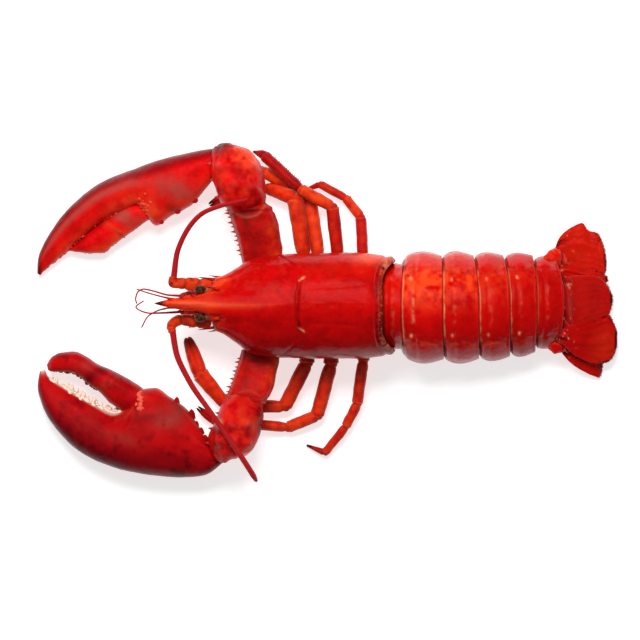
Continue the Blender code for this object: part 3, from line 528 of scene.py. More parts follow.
carapace = {
    "front": -85.0, "rear": 0.4, "halfWidth": 26.3, "height": 48.5, "waist": 0.45,
    "rings": 250, "arc": 76, "under": 34,
    "axis": [(-171, 2.0), (-112, 2.0), (-85, 1.0), (-60, 0.1), (-20, 0.4), (0, 0.4), (20, -0.5), (40, -0.4),
             (55, -0.1), (68, 0.6), (85, 2.1), (120, 4)],
    "widths": [(-85, 0.50), (-80, 0.575), (-75, 0.65), (-70, 0.735), (-65, 0.83), (-60, 0.89), (-50, 0.945),
               (-40, 0.975), (-20, 1.0), (-12, 1.0), (-5, 0.96), (-1, 0.92), (0.4, 0.86)],
    "backs": [(-85, 0.80), (-78, 0.84), (-70, 0.885), (-60, 0.935), (-45, 0.965), (-20, 1.0), (-8, 0.985),
              (0.4, 0.92)],
    "bellies": [(-85, 24), (-78, 20), (-70, 17), (-60, 14.5), (-40, 13), (-10, 13), (0.4, 15)],
    # how far back the sides lie, and how sharply they bend there
    "bows": [(-85, 5), (-72, 0), (-41, -8), (-26, -3), (-14, 0), (0.4, 7)],
    "bends": [(-85, 2), (-14, 2), (0, 5), (0.4, 5)],
    # the way in under the shell: share of the width, of the height of the side, and how far up
    "turnUnder": [(1.0, 1.0, 0.0), (0.985, 0.5, 1.0), (0.93, 0.0, 1.5), (0.86, 0.0, 0.0), (0.45, 0.0, 0.0),
                  (0.0, 0.0, 0.0)],
    "hem": [(0.985, 0.15), (0.955, -0.3), (0.93, -2.0), (0.9, -6.0)],  # how much narrower, how far back
    "beak": [(-112, 0.22, 38.3, 0.5), (-109, 1.1, 38.4, 1.7), (-104, 2.2, 38.5, 2.6), (-98, 3.3, 38.6, 3.6),
             (-91, 4.2, 39.0, 4.6), (-85.6, 5.6, 39.7, 5.5)],  # x, half width, top, depth
    "beakRings": 70,
    # the low keel behind the beak
    "keelSizes": [(-104, 1.6, 0.0), (-91, 3.7, 0.15), (-84, 5.2, 0.5), (-76, 5.4, 0.5), (-68, 4.0, 0.2),
                  (-60, 1.5, -0.6)],
    "keelPeaks": [(-104, 38.5), (-91, 39.0), (-85, 39.75), (-78, 41.4), (-70, 43.5), (-60, 45.9)],
    "rootWidths": [(-112, 4.0), (-85, 5.6), (-78, 6.6), (-66, 6.0), (-56, 3.0)],
    "groove": [(0, -41.4), (6, -41.2), (11, -40.4), (14, -40.2), (18, -42), (22, -46), (26, -52)],
    "ticks": ((13.5, right), (12.0, left)),  # pale marks at the ends of the groove
    "cheeks": ((0.85, -80.0, 11.5, 7.0, 2.8, 0.45), (0.40, -82, -9.0, 4.0, 3.0, -0.4)),  # orange patches
    "beakSpines": [(-91, 3.6), (-97, 3.0), (-103, 2.0)],
    # spines beside and behind the eyes (foot x, out, z, tip x, out, z, radius)
    "headSpines": [(-81, 7.4, 38.4, -86.5, 8.2, 41.0, 1.1), (-80, 11.5, 28, -91, 13.2, 29.8, 1.4),
                   (-80, 13.0, 25, -86, 14.2, 26, 0.9)],
}


def axisAt(x):
    # where the body's midline lies across
    return smoothKeys(carapace["axis"], x)


def bodyRing(half):
    # whole rings (rings, points, 2) of (across, height) from halves that run from the crown to the belly
    mirrored = half[:, -2:0:-1] * np.array([-1, 1])
    return np.concatenate([half[:, 1:], mirrored, half[:, :1]], axis=1)


def archHalf(width, low, top, count, fullness):
    a = np.pi / 2 * (1 - np.linspace(0, 1, count))
    across = column(width) * np.clip(np.cos(a), 0, 1) ** fullness
    height = column(low) + column(top - low) * np.clip(np.sin(a), 0, 1) ** 0.95
    return np.stack([across, height], axis=-1)


def column(values):
    return values[:, None]


def carapaceGrid():
    # rings from the beak's tip to the turned-in rear edge, and where each lies along
    look = carapace
    x = np.linspace(look["front"], look["rear"], look["rings"])
    width = look["halfWidth"] * smoothKeys(look["widths"], x)
    low = smoothKeys(look["bellies"], x)
    top = look["height"] * smoothKeys(look["backs"], x)
    waist = low + (top - low) * look["waist"]
    arch = archHalf(width, waist, top, look["arc"], 0.92)
    share, rise, lift = alongRows(look["turnUnder"], np.linspace(0, 1, look["under"])[1:]).T
    under = np.stack([column(width) * share, column(low) + column(waist - low) * rise + lift], axis=-1)
    ring = bodyRing(np.concatenate([arch, under], axis=1))
    out = np.abs(ring[..., 0])
    bow, bend = column(smoothKeys(look["bows"], x)), column(smoothKeys(look["bends"], x))
    back = bow * np.clip(out / column(width), 0, 1) ** bend
    # the front edge has a hollow round each eye and a point beside each feeler
    hollow = 3.2 * bell(out - 7.2, 2.6) * step(ring[..., 1], 26, 32)
    point = -2.6 * bell(out - 12.4, 1.6) * bell(ring[..., 1] - 29, 5)
    back = back + (hollow + point) * column(1 - step(x, look["front"], look["front"] + 9))
    shell = np.stack([column(x) + back, column(axisAt(x)) + ring[..., 0], ring[..., 1]], axis=-1)
    # the beak goes on from the front ring
    bx = np.linspace(look["beak"][0][0], look["beak"][-1][0], look["beakRings"])
    wide, peak, deep = smoothKeys(look["beak"], bx).T
    turn = circle(shell.shape[1], 1)
    across = column(wide) * signedPower(np.sin(turn), 1.12)
    height = column(peak - deep / 2) + column(deep) / 2 * signedPower(np.cos(turn), 1.12)
    keel = 0.45 * bell(across / column(np.maximum(wide, 0.6)), 0.35) * (np.cos(turn) > 0)
    height += keel * column(step(bx, -111, -100))
    beak = np.stack([np.broadcast_to(column(bx), across.shape), beakY + across, height], axis=-1)
    # the shell's rear edge turns inwards round the first tail segment
    middle = shell[-1].mean(axis=0)
    rim = shell[-1] - middle
    hem = [middle + rim * [1, shrink, shrink] + [deeper, 0, 0] for shrink, deeper in look["hem"]]
    along = np.concatenate([bx, x, np.full(len(hem), x[-1])])
    return np.concatenate([beak, shell, hem]), column(along)


def beakRoot():
    # the beak runs on over the head as a low keel that sinks into the shell
    x = np.linspace(-104, -60, 90)
    wide, lift = smoothKeys(carapace["keelSizes"], x).T
    peak = smoothKeys(carapace["keelPeaks"], x) + lift
    turn = circle(60, 0.5)
    across = column(wide) * signedPower(np.sin(turn), 1.05)
    height = column(peak - 1.6) + 1.6 * signedPower(np.cos(turn), 1.05)
    middle = np.where(x < -88, beakY, beakY + (axisAt(x) - beakY) * step(x, -88, -70))
    grid = np.stack([np.broadcast_to(column(x), across.shape), column(middle) + across, height], axis=-1)
    return grid, column(x)


def grooveOffset(x, side, z):
    # how far a point lies behind the groove, which runs forward low on the sides
    return x - (smoothKeys(carapace["groove"], side) - np.clip(28 - z, 0, 20) * 0.5)


def carapaceRelief(grid, ring):
    x, z = grid[..., 0], grid[..., 2]
    side = np.abs(grid[..., 1] - axisAt(x))
    onShell = step(x, -85, -68)
    onBack = onShell * step(z, 24, 30)
    # the groove across the back, with a swelling on each side of it
    offset = grooveOffset(x, side, z) + 0.4 * ripple(grid, 4, 2)
    groove = -0.65 * bell(offset, 1.0) + 0.30 * bell(offset - 2.2, 1.6) + 0.15 * bell(offset + 2.0, 1.4)
    relief = groove * (0.25 + 0.75 * (1 - step(side, 12, 18))) * step(z, 14, 22)
    # the roof-like back, and the beak's root between two hollows
    relief += 0.9 * np.exp(-side / 6) * onBack * (1 - 0.4 * step(x, -60, -30))
    half = smoothKeys(carapace["rootWidths"], x)
    root = 0.75 * (1 - step(side, half - 1.6, half + 1.0)) - 0.55 * bell(side - half - 2.2, 1.6)
    relief += (1 - step(x, -80, -56)) * onBack * root
    relief += 0.35 * bell(side, 0.8) * (1 - step(x, -84, -44)) * onBack
    # the fine seam along the midline, and a shallow furrow on each side behind the groove
    relief -= 0.14 * bell(side, 0.25) * step(x, -50, -42) * (1 - step(x, -3, -1)) * step(z, 24, 30)
    furrow = bell(side - 8.5 - (x + 40) * 0.05, 1.1) * step(x, -38, -34) * (1 - step(x, -12, -6))
    relief -= 0.22 * furrow * step(z, 24, 30)
    # the rolled hem at the rear edge, set off by a groove
    relief += 0.35 * bell(ring + 0.7, 0.9) - 0.55 * bell(ring + 2.6, 0.7) * step(z, 18, 22)
    return relief + (0.22 * ripple(grid, 9, 3, 2) + 0.07 * ripple(grid, 2.2, 5, 2)) * onShell


def carapaceTone(grid, ring):
    tone = Tone(grid)
    x, z = grid[..., 0], grid[..., 2]
    across = grid[..., 1] - axisAt(x)
    side = np.abs(across)
    onShell = step(x, -85, -70)
    mottle, fleck = ripple(grid, 4, 11, 2), ripple(grid, 1.3, 23, 2)
    # the hem is brown with pale grains, and dotted at its two ends
    hem = step(ring, -1.5, -0.9) * step(z, 17, 22)
    ends = bell(side - 19.5, 4.0)
    tone.pale += hem * ends * (0.12 + 0.4 * ripple(grid, 1.3, 21))
    tone.pale += hem * (1 - ends) * 0.22 * step(ripple(grid, 0.9, 24), 0.0, 0.6)
    tone.dark += hem * (ends * step(ripple(grid, 1.1, 9), -0.2, 0.5) + 0.55 * (1 - ends))
    tone.dark += 0.9 * bell(ring + 2.0, 0.5) * step(z, 17, 22) * (0.6 + 0.5 * ripple(grid, 1.2, 8))
    tone.orange += hem * 0.45
    tone.dull += hem * 0.18
    # a pale tick at each end of the groove, and the dark line in it
    for place, sign in carapace["ticks"]:
        tick = np.hypot((x + 38.8) / 1.6, (across - sign * (place + (x + 38.8) * 0.5)) / 0.6)
        tone.pale += 0.8 * bell(tick + 0.5 * fleck, 0.8)
    line = bell(grooveOffset(x, side, z) + 0.7 * ripple(grid, 3, 2), 0.9) * (1 - step(side, 10, 15))
    tone.dark += 0.42 * line * step(z, 24, 30) * (0.8 + 0.5 * mottle)
    # the beak is orange with a paler ridge, a painted highlight along its crest, and a black tip
    beak = (1 - step(x, -88, -76)) * (1 - step(side, 4.2, 6.6)) * step(z, 26, 33)
    tone.orange += 0.28 * beak + 0.5 * bell(side, 1.7) * (1 - step(x, -80, -42)) * step(z, 30, 36)
    tone.pale += 0.15 * bell(side, 1.1) * (1 - step(x, -92, -50)) * step(x, -108, -98)
    tone.dark += 0.10 * beak + (1 - step(x, -110, -105.5))
    # orange cheeks and mottles
    for amount, *place in carapace["cheeks"]:
        tone.orange += amount * patch(grid, *place) * (0.8 + 0.6 * mottle)
    tone.orange += 0.05 * mottle * step(across, -6, 6) + 0.08 * bell(across - 19, 6) * step(x, -45, -30)
    tone.orange += 0.10 * step(ripple(grid, 2.4, 13, 2), 0.25, 0.8) * step(across, -8, 4) * onShell
    # painted shade darkens the left side, which lies away from the light, with pale patches and a duller red
    # low on the sides
    tone.dark += 0.28 * (1 - step(across, -24, -12)) * (0.8 + 0.3 * mottle) + 0.24 * (1 - step(across, -9, 0))
    tone.dark += (0.13 + 0.09 * ripple(grid, 2.2, 12, 2)) * onShell
    tone.pale += 0.30 * step(mottle, 0.35, 0.8) * step(z, 12, 15) * (1 - step(z, 18, 25))
    tone.dull += 0.35 * (1 - step(z, 15, 24)) * step(x, -85, -80)
    # the rear corners are paler, orange on the right, and on the left dull, a painted sheen
    corner = bell(side - 23.5, 3.0) * step(x, -20, -5) * step(z, 12, 20)
    tone.dark += 0.16 * step(across, 17, 24) * onShell * (1 - corner)
    tone.orange += 0.6 * corner * (across > 0)
    tone.pale += 0.10 * corner * (0.8 + 0.6 * mottle)
    tone.dull += 0.3 * corner * (across < 0)
    return tone


def buildCarapace():
    grid, ring = carapaceGrid()
    tone = carapaceTone(grid, ring)
    grid = swell(grid, carapaceRelief(grid, ring))
    keel, along = beakRoot()
    item = meshOf("carapaceShell", [grid, keel], [tone, carapaceTone(keel, along)], "shell")
    rows = [(x, out - 0.8, 37.6, x - 4.4, out + 1.2, 38.4, 0.85) for x, out in carapace["beakSpines"]]
    seeds = []
    for side in (right, left):
        for x, out, z, tipX, tipOut, tipZ, radius in rows + carapace["headSpines"]:
            seeds.append(((x, beakY + side * out, z), (tipX, beakY + side * tipOut, tipZ), radius))
    horn = spineShape(hornProfile, 9, (0, 0.2, 0.5, 0), (0, 1.0, 0.1, 0))
    grow(item, "shell", seeds, horn, 0.06, 4)
    handIn(item, "carapace")


beakY = axisAt(-95.0)
buildCarapace()
print("carapace built")


# Tail segments

tail = {
    # midline x, how far back at the right and left, bend
    "seams": [(0.4, 7, 7, 5), (10.2, 2.6, 2.4, 2), (30.8, -0.3, 1.0, 2), (48.8, -2.8, 0.5, 2),
              (64.3, -3.8, 0.5, 2), (77.8, -2.5, -0.8, 2), (91.5, -7.0, -4.5, 2)],
    "halfWidth": 27.8, "hinge": 0.42, "rings": 74, "arc": 72, "under": 44,
    "tops": [(-5, 41), (1, 41.6), (10, 43.2), (20, 44), (40, 42.2), (56, 38.4), (71, 33.2), (85, 27.2),
             (93, 23)],
    "plates": [(-0.2, 0.1), (0, 0.25), (0.17, 0.55), (0.45, 0.95), (0.72, 1.0), (0.93, 0.6), (1, 0.45)],
    # the way in under a segment: share of the width, then of the hinge's, tip's and belly's height, lift
    "turnUnder": [(1.0, 1, 0, 0, 0), (1.01, 0.5, 0.5, 0, 0), (0.97, 0, 1, 0, 0), (0.88, 0, 1, 0, 0.8),
                  (0.74, 0, 0, 1, 0), (0.35, 0, 0, 1, -1), (0.0, 0, 0, 1, -1)],
    # one value for each segment: sizes, then how strong each mark shows
    "widths": [21.4, 27.8, 27.8, 27.0, 25.8, 22.9], "swells": [0.4, 2.2, 2.2, 2.0, 1.8, 0.8],
    "tucks": [2.5, 6.0, 2.5, 2.5, 2.5, 2.5], "tips": [15, -0.5, -0.5, -0.5, -0.3, 4],
    "rims": [0.0, 0.75, 0.8, 0.65, 0.45, 0.1], "spots": [0.0, 1.0, 0.8, 0.5, 0.8, 0.0],
    "streaks": [0.12, 0.34, 0.12, 0.12, 0.12, 0.12], "flanks": [0.2, 0.4, 0.4, 0.4, 0.4, 0.4],
    "orange": [0.20, 1.5, 1.2, 0.42, 0.22, 0.06], "dark": [0.05, 0.02, 0.06, 0.09, 0.12, 0.17],
}


def somiteGrid(i):
    # rings of one tail segment, from the edge tucked under the piece before it
    length = tail["seams"][i + 1][0] - tail["seams"][i][0]
    share = np.concatenate([np.linspace(-3.0 / length, 0, 10)[:-1], np.linspace(0, 1, tail["rings"])])
    inside, place = np.clip(share, 0, 1), share * length
    first, second = np.array(tail["seams"][i], float), np.array(tail["seams"][i + 1], float)
    x, bowRight, bowLeft, bend = (first + (second - first) * column(share)).T
    # the front edge is drawn in and tucked under the piece before it
    tucked, lip = 1 - step(place, -2.6, 0.1), 1 - step(place, 0.2, 1.6)
    crown = smoothKeys(tail["tops"], x) + 0.7 * np.sin(np.pi * np.clip(inside * 1.1, 0, 1))
    crown -= 0.9 * (1 - inside) ** 4 + 1.0 * lip + 2.5 * tucked
    width = tail["widths"][i] - tail["swells"][i] * (1 - np.sin(np.pi * inside**0.9))
    width -= 0.8 * (1 - inside) ** 6 + 0.9 * lip + tail["tucks"][i] * tucked
    hinge = crown * tail["hinge"]
    belly = np.maximum(hinge * 0.72, 7.0)
    lowest = belly - (belly - tail["tips"][i]) * smoothKeys(tail["plates"], share) - 0.2
    arch = archHalf(width, hinge, crown, tail["arc"], 0.95)
    rows = alongRows(tail["turnUnder"], np.linspace(0, 1, tail["under"])[1:])
    out, ofHinge, ofLow, ofBelly, lift = rows.T
    height = column(hinge) * ofHinge + column(lowest) * ofLow + column(belly) * ofBelly + lift
    under = np.stack([column(width) * out, np.maximum(height, boxGap)], axis=-1)
    ring = bodyRing(np.concatenate([arch, under], axis=1))
    reach = np.clip(np.abs(ring[..., 0]) / tail["halfWidth"], 0, 1) ** column(np.clip(bend, 2, 5))
    back = np.where(ring[..., 0] > 0, column(bowRight), column(bowLeft)) * reach
    grid = np.stack([column(x) + back, column(axisAt(x)) + ring[..., 0], ring[..., 1]], axis=-1)
    return grid, share, column(hinge), length


def buildSomite(i):
    grid, share, hinge, length = somiteGrid(i)
    place, arched = column(share * length), column(np.sin(np.clip(share, 0, 1) * np.pi))
    across, z = grid[..., 1] - axisAt(grid[..., 0]), grid[..., 2]
    side = np.abs(across)
    over = step(z, hinge - 3, hinge + 4)
    mottle, uneven = ripple(grid, 3.0, 31 + i, 3), ripple(grid, 2.5, 60 + i, 2)
    flankLine = side - 18.6 + 1.8 * arched
    # a groove across the ring, a rolled rear edge, and creases over the side plates
    relief = -0.45 * bell(place - length * 0.3, 1.1) * over + 0.30 * bell(place - length + 0.7, 0.6) * over
    relief -= 0.4 * bell(z - hinge + 1.0, 1.6) * column(step(share, 0.1, 0.3)) + 0.25 * bell(flankLine, 1.5)
    relief -= 0.35 * (1 - step(np.hypot(place - 5.2, (side - 14.2) * 0.8), 0.5, 1.6)) * over
    relief += 0.15 * ripple(grid, 7, 40 + i, 2) + 0.06 * ripple(grid, 1.8, 50 + i, 2)
    tone = Tone(grid)
    # the pale rim at the front, and painted shade in the seams at both edges, where one segment laps over the
    # next
    rim = bell(place - 0.65 - 0.15 * uneven, 0.38) * (1 - step(side, 15, 21)) * over
    tone.pale += rim * tail["rims"][i] * (0.75 + 0.6 * uneven)
    tone.orange += rim
    tone.dark += 0.8 * (1 - step(place, -0.1, 0.3)) * over + 0.5 * bell(place - length, 0.35) * over
    # two pale spots, and a broken streak between them
    spot = bell(np.hypot(place - 4.6 - 0.4 * uneven, (side - 14.2) * 0.75), 0.62)
    streak = bell(place - 5.6 - 0.6 * uneven, 0.8) * (1 - step(side, 5, 12)) * step(uneven, -0.5, 0.5)
    tone.pale += (tail["spots"][i] * spot + tail["streaks"][i] * streak) * over
    # orange on the right of the back, partly the shell's own orange and partly a painted highlight on the
    # side toward the light; dull on the flanks; painted shade darkening the left side, away from the light;
    # darker low down by the table
    lit = step(across, -7, 17) * (1 - 0.7 * step(side, 14, 20))
    tone.orange += tail["orange"][i] * lit * over * (0.5 + 0.7 * mottle) + 0.01
    flank = step(side + 1.5 * uneven, 16, 25) * (0.7 + 0.5 * mottle) * (0.6 + 0.4 * step(-across, 0, 5))
    tone.dull += (1 - over) * (0.12 + 0.2 * step(-across, 0, 5)) + flank * tail["flanks"][i]
    tone.dark += tail["dark"][i] + 0.14 * step(-across, 2, 10)
    tone.dark += 0.16 * step(-across, 8, 22) * (0.8 + 0.4 * mottle)
    tone.dark += 0.25 * (1 - step(z, 1, 8)) * (1 - over)
    if i:
        edge = flankLine + 0.5 * mottle
        tone.dark += 0.09 * bell(edge, 0.9)
        tone.pale += 0.10 * bell(edge - 1.4, 1.0) * step(uneven, -0.4, 0.5)
    grid = swell(grid, relief)
    grid[..., 2] = np.maximum(grid[..., 2], boxGap)
    handIn(meshOf(f"tailSegment_{i + 1}", [grid], [tone], "shell"), f"abdomen_{i + 1}")


for number in range(6):
    buildSomite(number)
print("tail segments built")


# Blades: tail fan, arms, wrists, palms and fingers

def bladeGrid(rows, count, roll, squareness, ease):
    # rows are (outer x, y, inner x, y, thickness, middle height); roll lifts the outer edge,
    # and ease is the share of the length over which the line of the crown is smoothed
    rings, sides = count
    shares = np.linspace(0, 1, rings)
    row = alongRows(rows, shares)
    outer, inner, thick = blurred(row[:, 0:2], ease * rings * 0.5), row[:, 2:4], row[:, 4] / 2
    span = outer - inner
    width = np.linalg.norm(span, axis=1)
    flat = span / column(np.maximum(width, 1e-6))
    crown = blurred((outer + inner) / 2, ease * rings)
    place = np.clip(((crown - inner) * flat).sum(axis=1) / width, 0.3, 0.7)
    lean = np.column_stack([flat * math.cos(roll), np.full(rings, math.sin(roll))])
    up = np.column_stack([-flat * math.sin(roll), np.full(rings, math.cos(roll))]) * column(thick)
    reaches = []
    for part in (1 - place, place):
        reach = np.sqrt(np.maximum((width * part) ** 2 - (thick * math.sin(roll)) ** 2, thick**2 * 0.2))
        reaches.append((lean * column(reach / math.cos(roll)))[:, None])
    height = row[:, 5] + width * (place - 0.5) * math.tan(roll)
    centre = np.column_stack([inner + span * column(place), height])
    turn, power = circle(sides, 0.5), 2 / squareness
    out, rise = column(signedPower(np.cos(turn), power)), column(signedPower(np.sin(turn), power))
    grid = centre[:, None] + np.where(out > 0, reaches[0] * out, reaches[1] * out) + up[:, None] * rise
    # what comes near the table lies flat on it
    grid[..., 2] = np.where(grid[..., 2] < 0.6, np.maximum(grid[..., 2] * 0.2, boxGap), grid[..., 2])
    return grid, column(shares), np.cos(turn), np.sin(turn)


def bladeOf(shape, key, roll=0.0):
    # the grid, the share of the way along, how far outwards (-1 to 1) and how far upwards (-1 to 1)
    return bladeGrid(shape[key], shape["count"], roll, shape["squareness"], shape["ease"])


fan = {
    "telson": [(88.5, 12.6, 88.5, -9.4, 6.0, 17.6), (92.5, 14.0, 92.0, -11.4, 6.0, 16.6),
               (97, 15.6, 97, -11.6, 5.0, 13.2), (104, 15.6, 104, -8.6, 3.4, 10.4),
               (110, 14.6, 110, -7.2, 2.4, 7.6), (114, 10.5, 114.5, -4.5, 1.8, 5.9),
               (116.4, 5.5, 116.4, 1.5, 1.4, 5.0)],
    "uropod_inner_right": [(85.5, 18.5, 87, 12, 3.0, 14.0), (89.5, 21, 90, 13, 3.0, 12.4),
                           (94, 22.2, 94, 12, 2.4, 9.8), (101, 19.6, 101, 11.5, 2.0, 7.2),
                           (108, 17.6, 108, 11.2, 1.7, 5.4), (112, 16.2, 112, 11.5, 1.5, 4.4),
                           (114, 14.8, 114, 12.6, 1.2, 3.8)],
    "uropod_outer_right": [(86.5, 27, 88, 21, 3.0, 9.6), (89.5, 34.4, 91.5, 20.6, 2.4, 7.6),
                           (95, 39.2, 96.5, 19.4, 2.0, 5.2), (101, 41.8, 102.5, 17.8, 1.8, 3.6),
                           (104, 38.2, 107, 16.8, 1.6, 2.8), (109, 36.6, 111, 16.0, 1.4, 2.0),
                           (112, 30.5, 112.8, 16.4, 1.2, 1.6), (113.2, 24, 113.4, 19.6, 1.0, 1.4)],
    "uropod_inner_left": [(87, -17.2, 87, -8.5, 3.0, 18.6), (91, -19, 91.5, -9.6, 3.0, 18.2),
                          (96, -23.5, 96.5, -9.0, 2.4, 15.4), (102, -26.6, 103, -7.6, 2.0, 11.8),
                          (108, -28.6, 109.5, -5.4, 1.7, 9.4), (113, -28.2, 114.4, -4.2, 1.6, 8.0),
                          (116.4, -25.6, 117, -8.0, 1.4, 7.0), (118.8, -19.6, 118.8, -12.8, 1.2, 6.2)],
    "uropod_outer_left": [(90.6, -23.4, 91.8, -19, 3.0, 12.5), (94.5, -27.8, 96, -20, 2.4, 10.0),
                          (100.5, -31.8, 102.5, -22, 2.0, 7.0), (105.8, -34.4, 107.5, -23.5, 1.8, 4.4),
                          (109.6, -35.6, 110.4, -25, 1.5, 2.8), (111.2, -32.6, 111.6, -27.5, 1.2, 1.8)],
    # how orange, how dark and how dull each blade is
    "tones": {"telson": (0.06, 0.27, 0.05), "uropod_inner_right": (0.08, 0.18, 0.0),
              "uropod_outer_right": (0.18, 0.12, 0.0), "uropod_inner_left": (0.0, 0.30, 0.0),
              "uropod_outer_left": (0.05, 0.30, 0.0)},
    "litBlade": "uropod_inner_left", "count": (110, 96), "squareness": 2.6, "ease": 0.05,
    "bristleLength": 1.9, "bristleRadius": 0.18, "bristles": 460, "rearFrom": 0.5, "pull": 0.020,
}


def fanBristles(name, heart, seed):
    # bristles round the rear of a blade, which point away from its heart
    outline = alongRows(fan[name], np.linspace(fan["rearFrom"], 1, 60))
    rim = np.concatenate([outline[:, [0, 1, 5]], outline[::-1][:, [2, 3, 5]]])
    lengths = np.concatenate([[0], np.cumsum(np.linalg.norm(np.diff(rim, axis=0), axis=1))])
    places = np.linspace(0, lengths[-1], fan["bristles"])
    rim = np.column_stack([np.interp(places, lengths, rim[:, k]) for k in range(3)])
    ways = rim - heart
    ways /= column(np.linalg.norm(ways, axis=1))
    wander = np.column_stack([ripple(rim * 3, 1.0, seed + k) for k in range(3)])
    ways = ways + 0.35 * wander * np.array([1, 1, 0.6])
    feet = rim - ways * fan["bristleLength"]
    tips = feet + ways * (fan["bristleLength"] * (0.95 + 0.2 * wander[:, :1]))
    tips[:, 2] = np.maximum(tips[:, 2], 0.3)
    feet[:, 2] = np.maximum(feet[:, 2], 0.4)
    return [(foot, tip, fan["bristleRadius"]) for foot, tip in zip(feet, tips)]


def buildFanBlade(name, seed):
    grid, share, out, rise = bladeOf(fan, name)
    orange, dark, dull = fan["tones"][name]
    telson, outer = name == "telson", "outer" in name
    top = step(rise, -0.2, 0.3)
    mottle, broad = ripple(grid, 3.5, seed, 3), ripple(grid, 9, seed + 5, 2)
    # fine ribs, a keel or a valley along the middle, a crease across the outer blades, folds at the root
    ribs = np.sin(out * (26 if telson else 20) + 3.0 * ripple(grid, 8, seed + 1)) * step(share, 0.25, 0.5)
    keel = 0.0 if telson else 0.5 * bell(out - 0.1, 0.10) * (1 - step(share, 0.5, 0.85))
    crease = -0.15 * bell(share - 0.70 - 0.08 * out**2, 0.015) * outer
    folds = -0.9 * bell(np.sin(out * 5.0 + share * 16 + seed) - 0.9, 0.25) * (1 - step(share, 0.14, 0.30))
    relief = (0.05 * ribs + keel + crease + folds) * top + 0.16 * ripple(grid, 5, seed + 2, 2)
    relief += -0.35 * bell(out, 0.35) * step(share, 0.2, 0.6) * telson
    # dark at the rear and at the rims, with painted shade in the folds, orange between, with pale specks at
    # the root
    tone = Tone(grid)
    rear = step(share + 0.02 * mottle, 0.80 if outer else 0.88, 0.96)
    tone.dark += 0.85 * rear + dark + 0.06 * ribs * top
    tone.dark += 0.45 * step(np.abs(out), 0.955, 1.0) * step(share, 0.4, 0.7)
    tone.dark += (-0.55 * folds + 0.25 * (1 - step(share, 0.05, 0.2))) * top
    tone.orange += orange * (0.85 + 0.35 * mottle + 0.3 * broad) * (1 - 0.8 * rear) + 0.02
    if name == fan["litBlade"]:
        tone.orange += 0.22 * step(share, 0.35, 0.7) * (1 - rear) * step(out, -0.9, 0.2)
    tone.dull += dull * (0.9 + 0.6 * mottle)
    tone.pale += 0.5 * step(ripple(grid, 1.5, seed + 7, 2), 0.62, 0.85) * (1 - step(share, 0.22, 0.36)) * top
    # the blade ends a little inside the bristles
    heart = grid[:70].mean(axis=(0, 1))
    bristles = fanBristles(name, heart, seed)
    grid = swell(grid, relief)
    grid = grid + (heart - grid) * step(share, 0.4, 0.8)[..., None] * fan["pull"] * np.array([1, 1, 0])
    item = meshOf(name.replace("uropod", "fanBlade") + "Shell", [grid], [tone], "shell")
    grow(item, "shell", bristles, spineShape(hairProfile, 4, (0, 0.7, 0.1, 0), (0, 1.0, 0, 0)), 0.25, seed)
    handIn(item, name)


for number, name in enumerate(fan["tones"]):
    buildFanBlade(name, 70 + number)

# x, y, height and radius along each stalk
stalks = {
    "uropod_stalk_right": [(81.5, 23.0, 15.0, 1.6), (84, 23.6, 14.2, 2.8), (87, 24.4, 13.0, 3.4),
                           (90.4, 23.6, 12.0, 2.9), (93.4, 22.4, 10.6, 1.6)],
    "uropod_stalk_left": [(83.5, -18.0, 15.4, 2.0), (87, -19.2, 14.6, 3.2), (90.2, -19.6, 14.4, 2.8),
                          (92.6, -20.2, 13.6, 1.6)],
}


def buildFanStalk(name, seed):
    shares, turn = np.linspace(0, 1, 40), circle(40)
    x, y, z, radius = (column(values) for values in alongRows(stalks[name], shares).T)
    grid = np.stack([x + 0 * turn, y + radius * 1.3 * np.cos(turn), z + radius * np.sin(turn)], axis=-1)
    crease = column(bell(shares - 0.78, 0.05))
    tone = Tone(grid)
    tone.orange += (0.25 if "right" in name else 0.1) + 0.25 * ripple(grid, 2.5, seed)
    tone.dark += 0.8 * crease
    grid = swell(grid, 0.5 * ripple(grid, 3, seed, 2) - 0.6 * crease)
    handIn(meshOf(name.replace("uropod", "fan"), [grid], [tone], "shell"), name)


for number, name in enumerate(stalks):
    buildFanStalk(name, 80 + number)
print("tail fan built")


# Arms, wrists and claws

def edgePlace(rows, share, edge):
    # a place on a blade's outer (0) or inner (1) edge, at its middle height
    row = alongRows(rows, [share])[0]
    return np.array([row[2 * edge], row[2 * edge + 1], row[5]])


def edgeSpines(rows, shares, length, radius, lift):
    # spines on a blade's inner edge
    seeds = []
    for share in shares:
        foot = edgePlace(rows, share, 1)
        way = foot - edgePlace(rows, share, 0)
        way[2] = 0
        way /= np.linalg.norm(way)
        foot = foot - way * length * 0.45 + np.array([0, 0, lift])
        seeds.append((foot, foot + way * length * 1.4 + np.array([0, 0, lift * 0.4]), radius))
    return seeds


def scatteredKnobs(grid, mask, count, radius, stub, seed):
    # lumps that stand out of the surface at chance places, where the mask lets them
    chance = np.random.default_rng(seed)
    along = np.linalg.norm(np.gradient(grid, axis=0), axis=2)
    around = np.linalg.norm(np.roll(grid, -1, axis=1) - grid, axis=2)
    weight = (np.clip(mask, 0, None) * along * around).ravel()
    picked = chance.choice(weight.size, count, replace=False, p=weight / weight.sum())
    sizes = chance.uniform(0.6, 1.2, count)
    feet, ways = grid.reshape(-1, 3)[picked], outward(grid).reshape(-1, 3)[picked]
    ways /= column(np.linalg.norm(ways, axis=1))
    length = radius * stub
    return [(foot - way * length * 0.3, foot + way * length * size, radius * size)
            for foot, way, size in zip(feet, ways, sizes)]


# the rim of the wrist's end, which laps over the arm: x, y, radius and how strong it shows
lapRim = {right: (-66.0, 52.0, 8.6, 0.8), left: (-66.5, -50.5, 9.0, 0.35)}


def lapOver(grid, side):
    # the rim, and the hollow that it goes round
    x, y, radius, amount = lapRim[side]
    dx, dy = grid[..., 0] - x, grid[..., 1] - y
    away = np.hypot(dx, dy * 1.08)
    facing = amount * step(dx * 0.8 - side * dy, -5, 1)
    return facing * bell(away - radius, 0.9), facing * (1 - step(away, radius - 3.0, radius - 0.8))


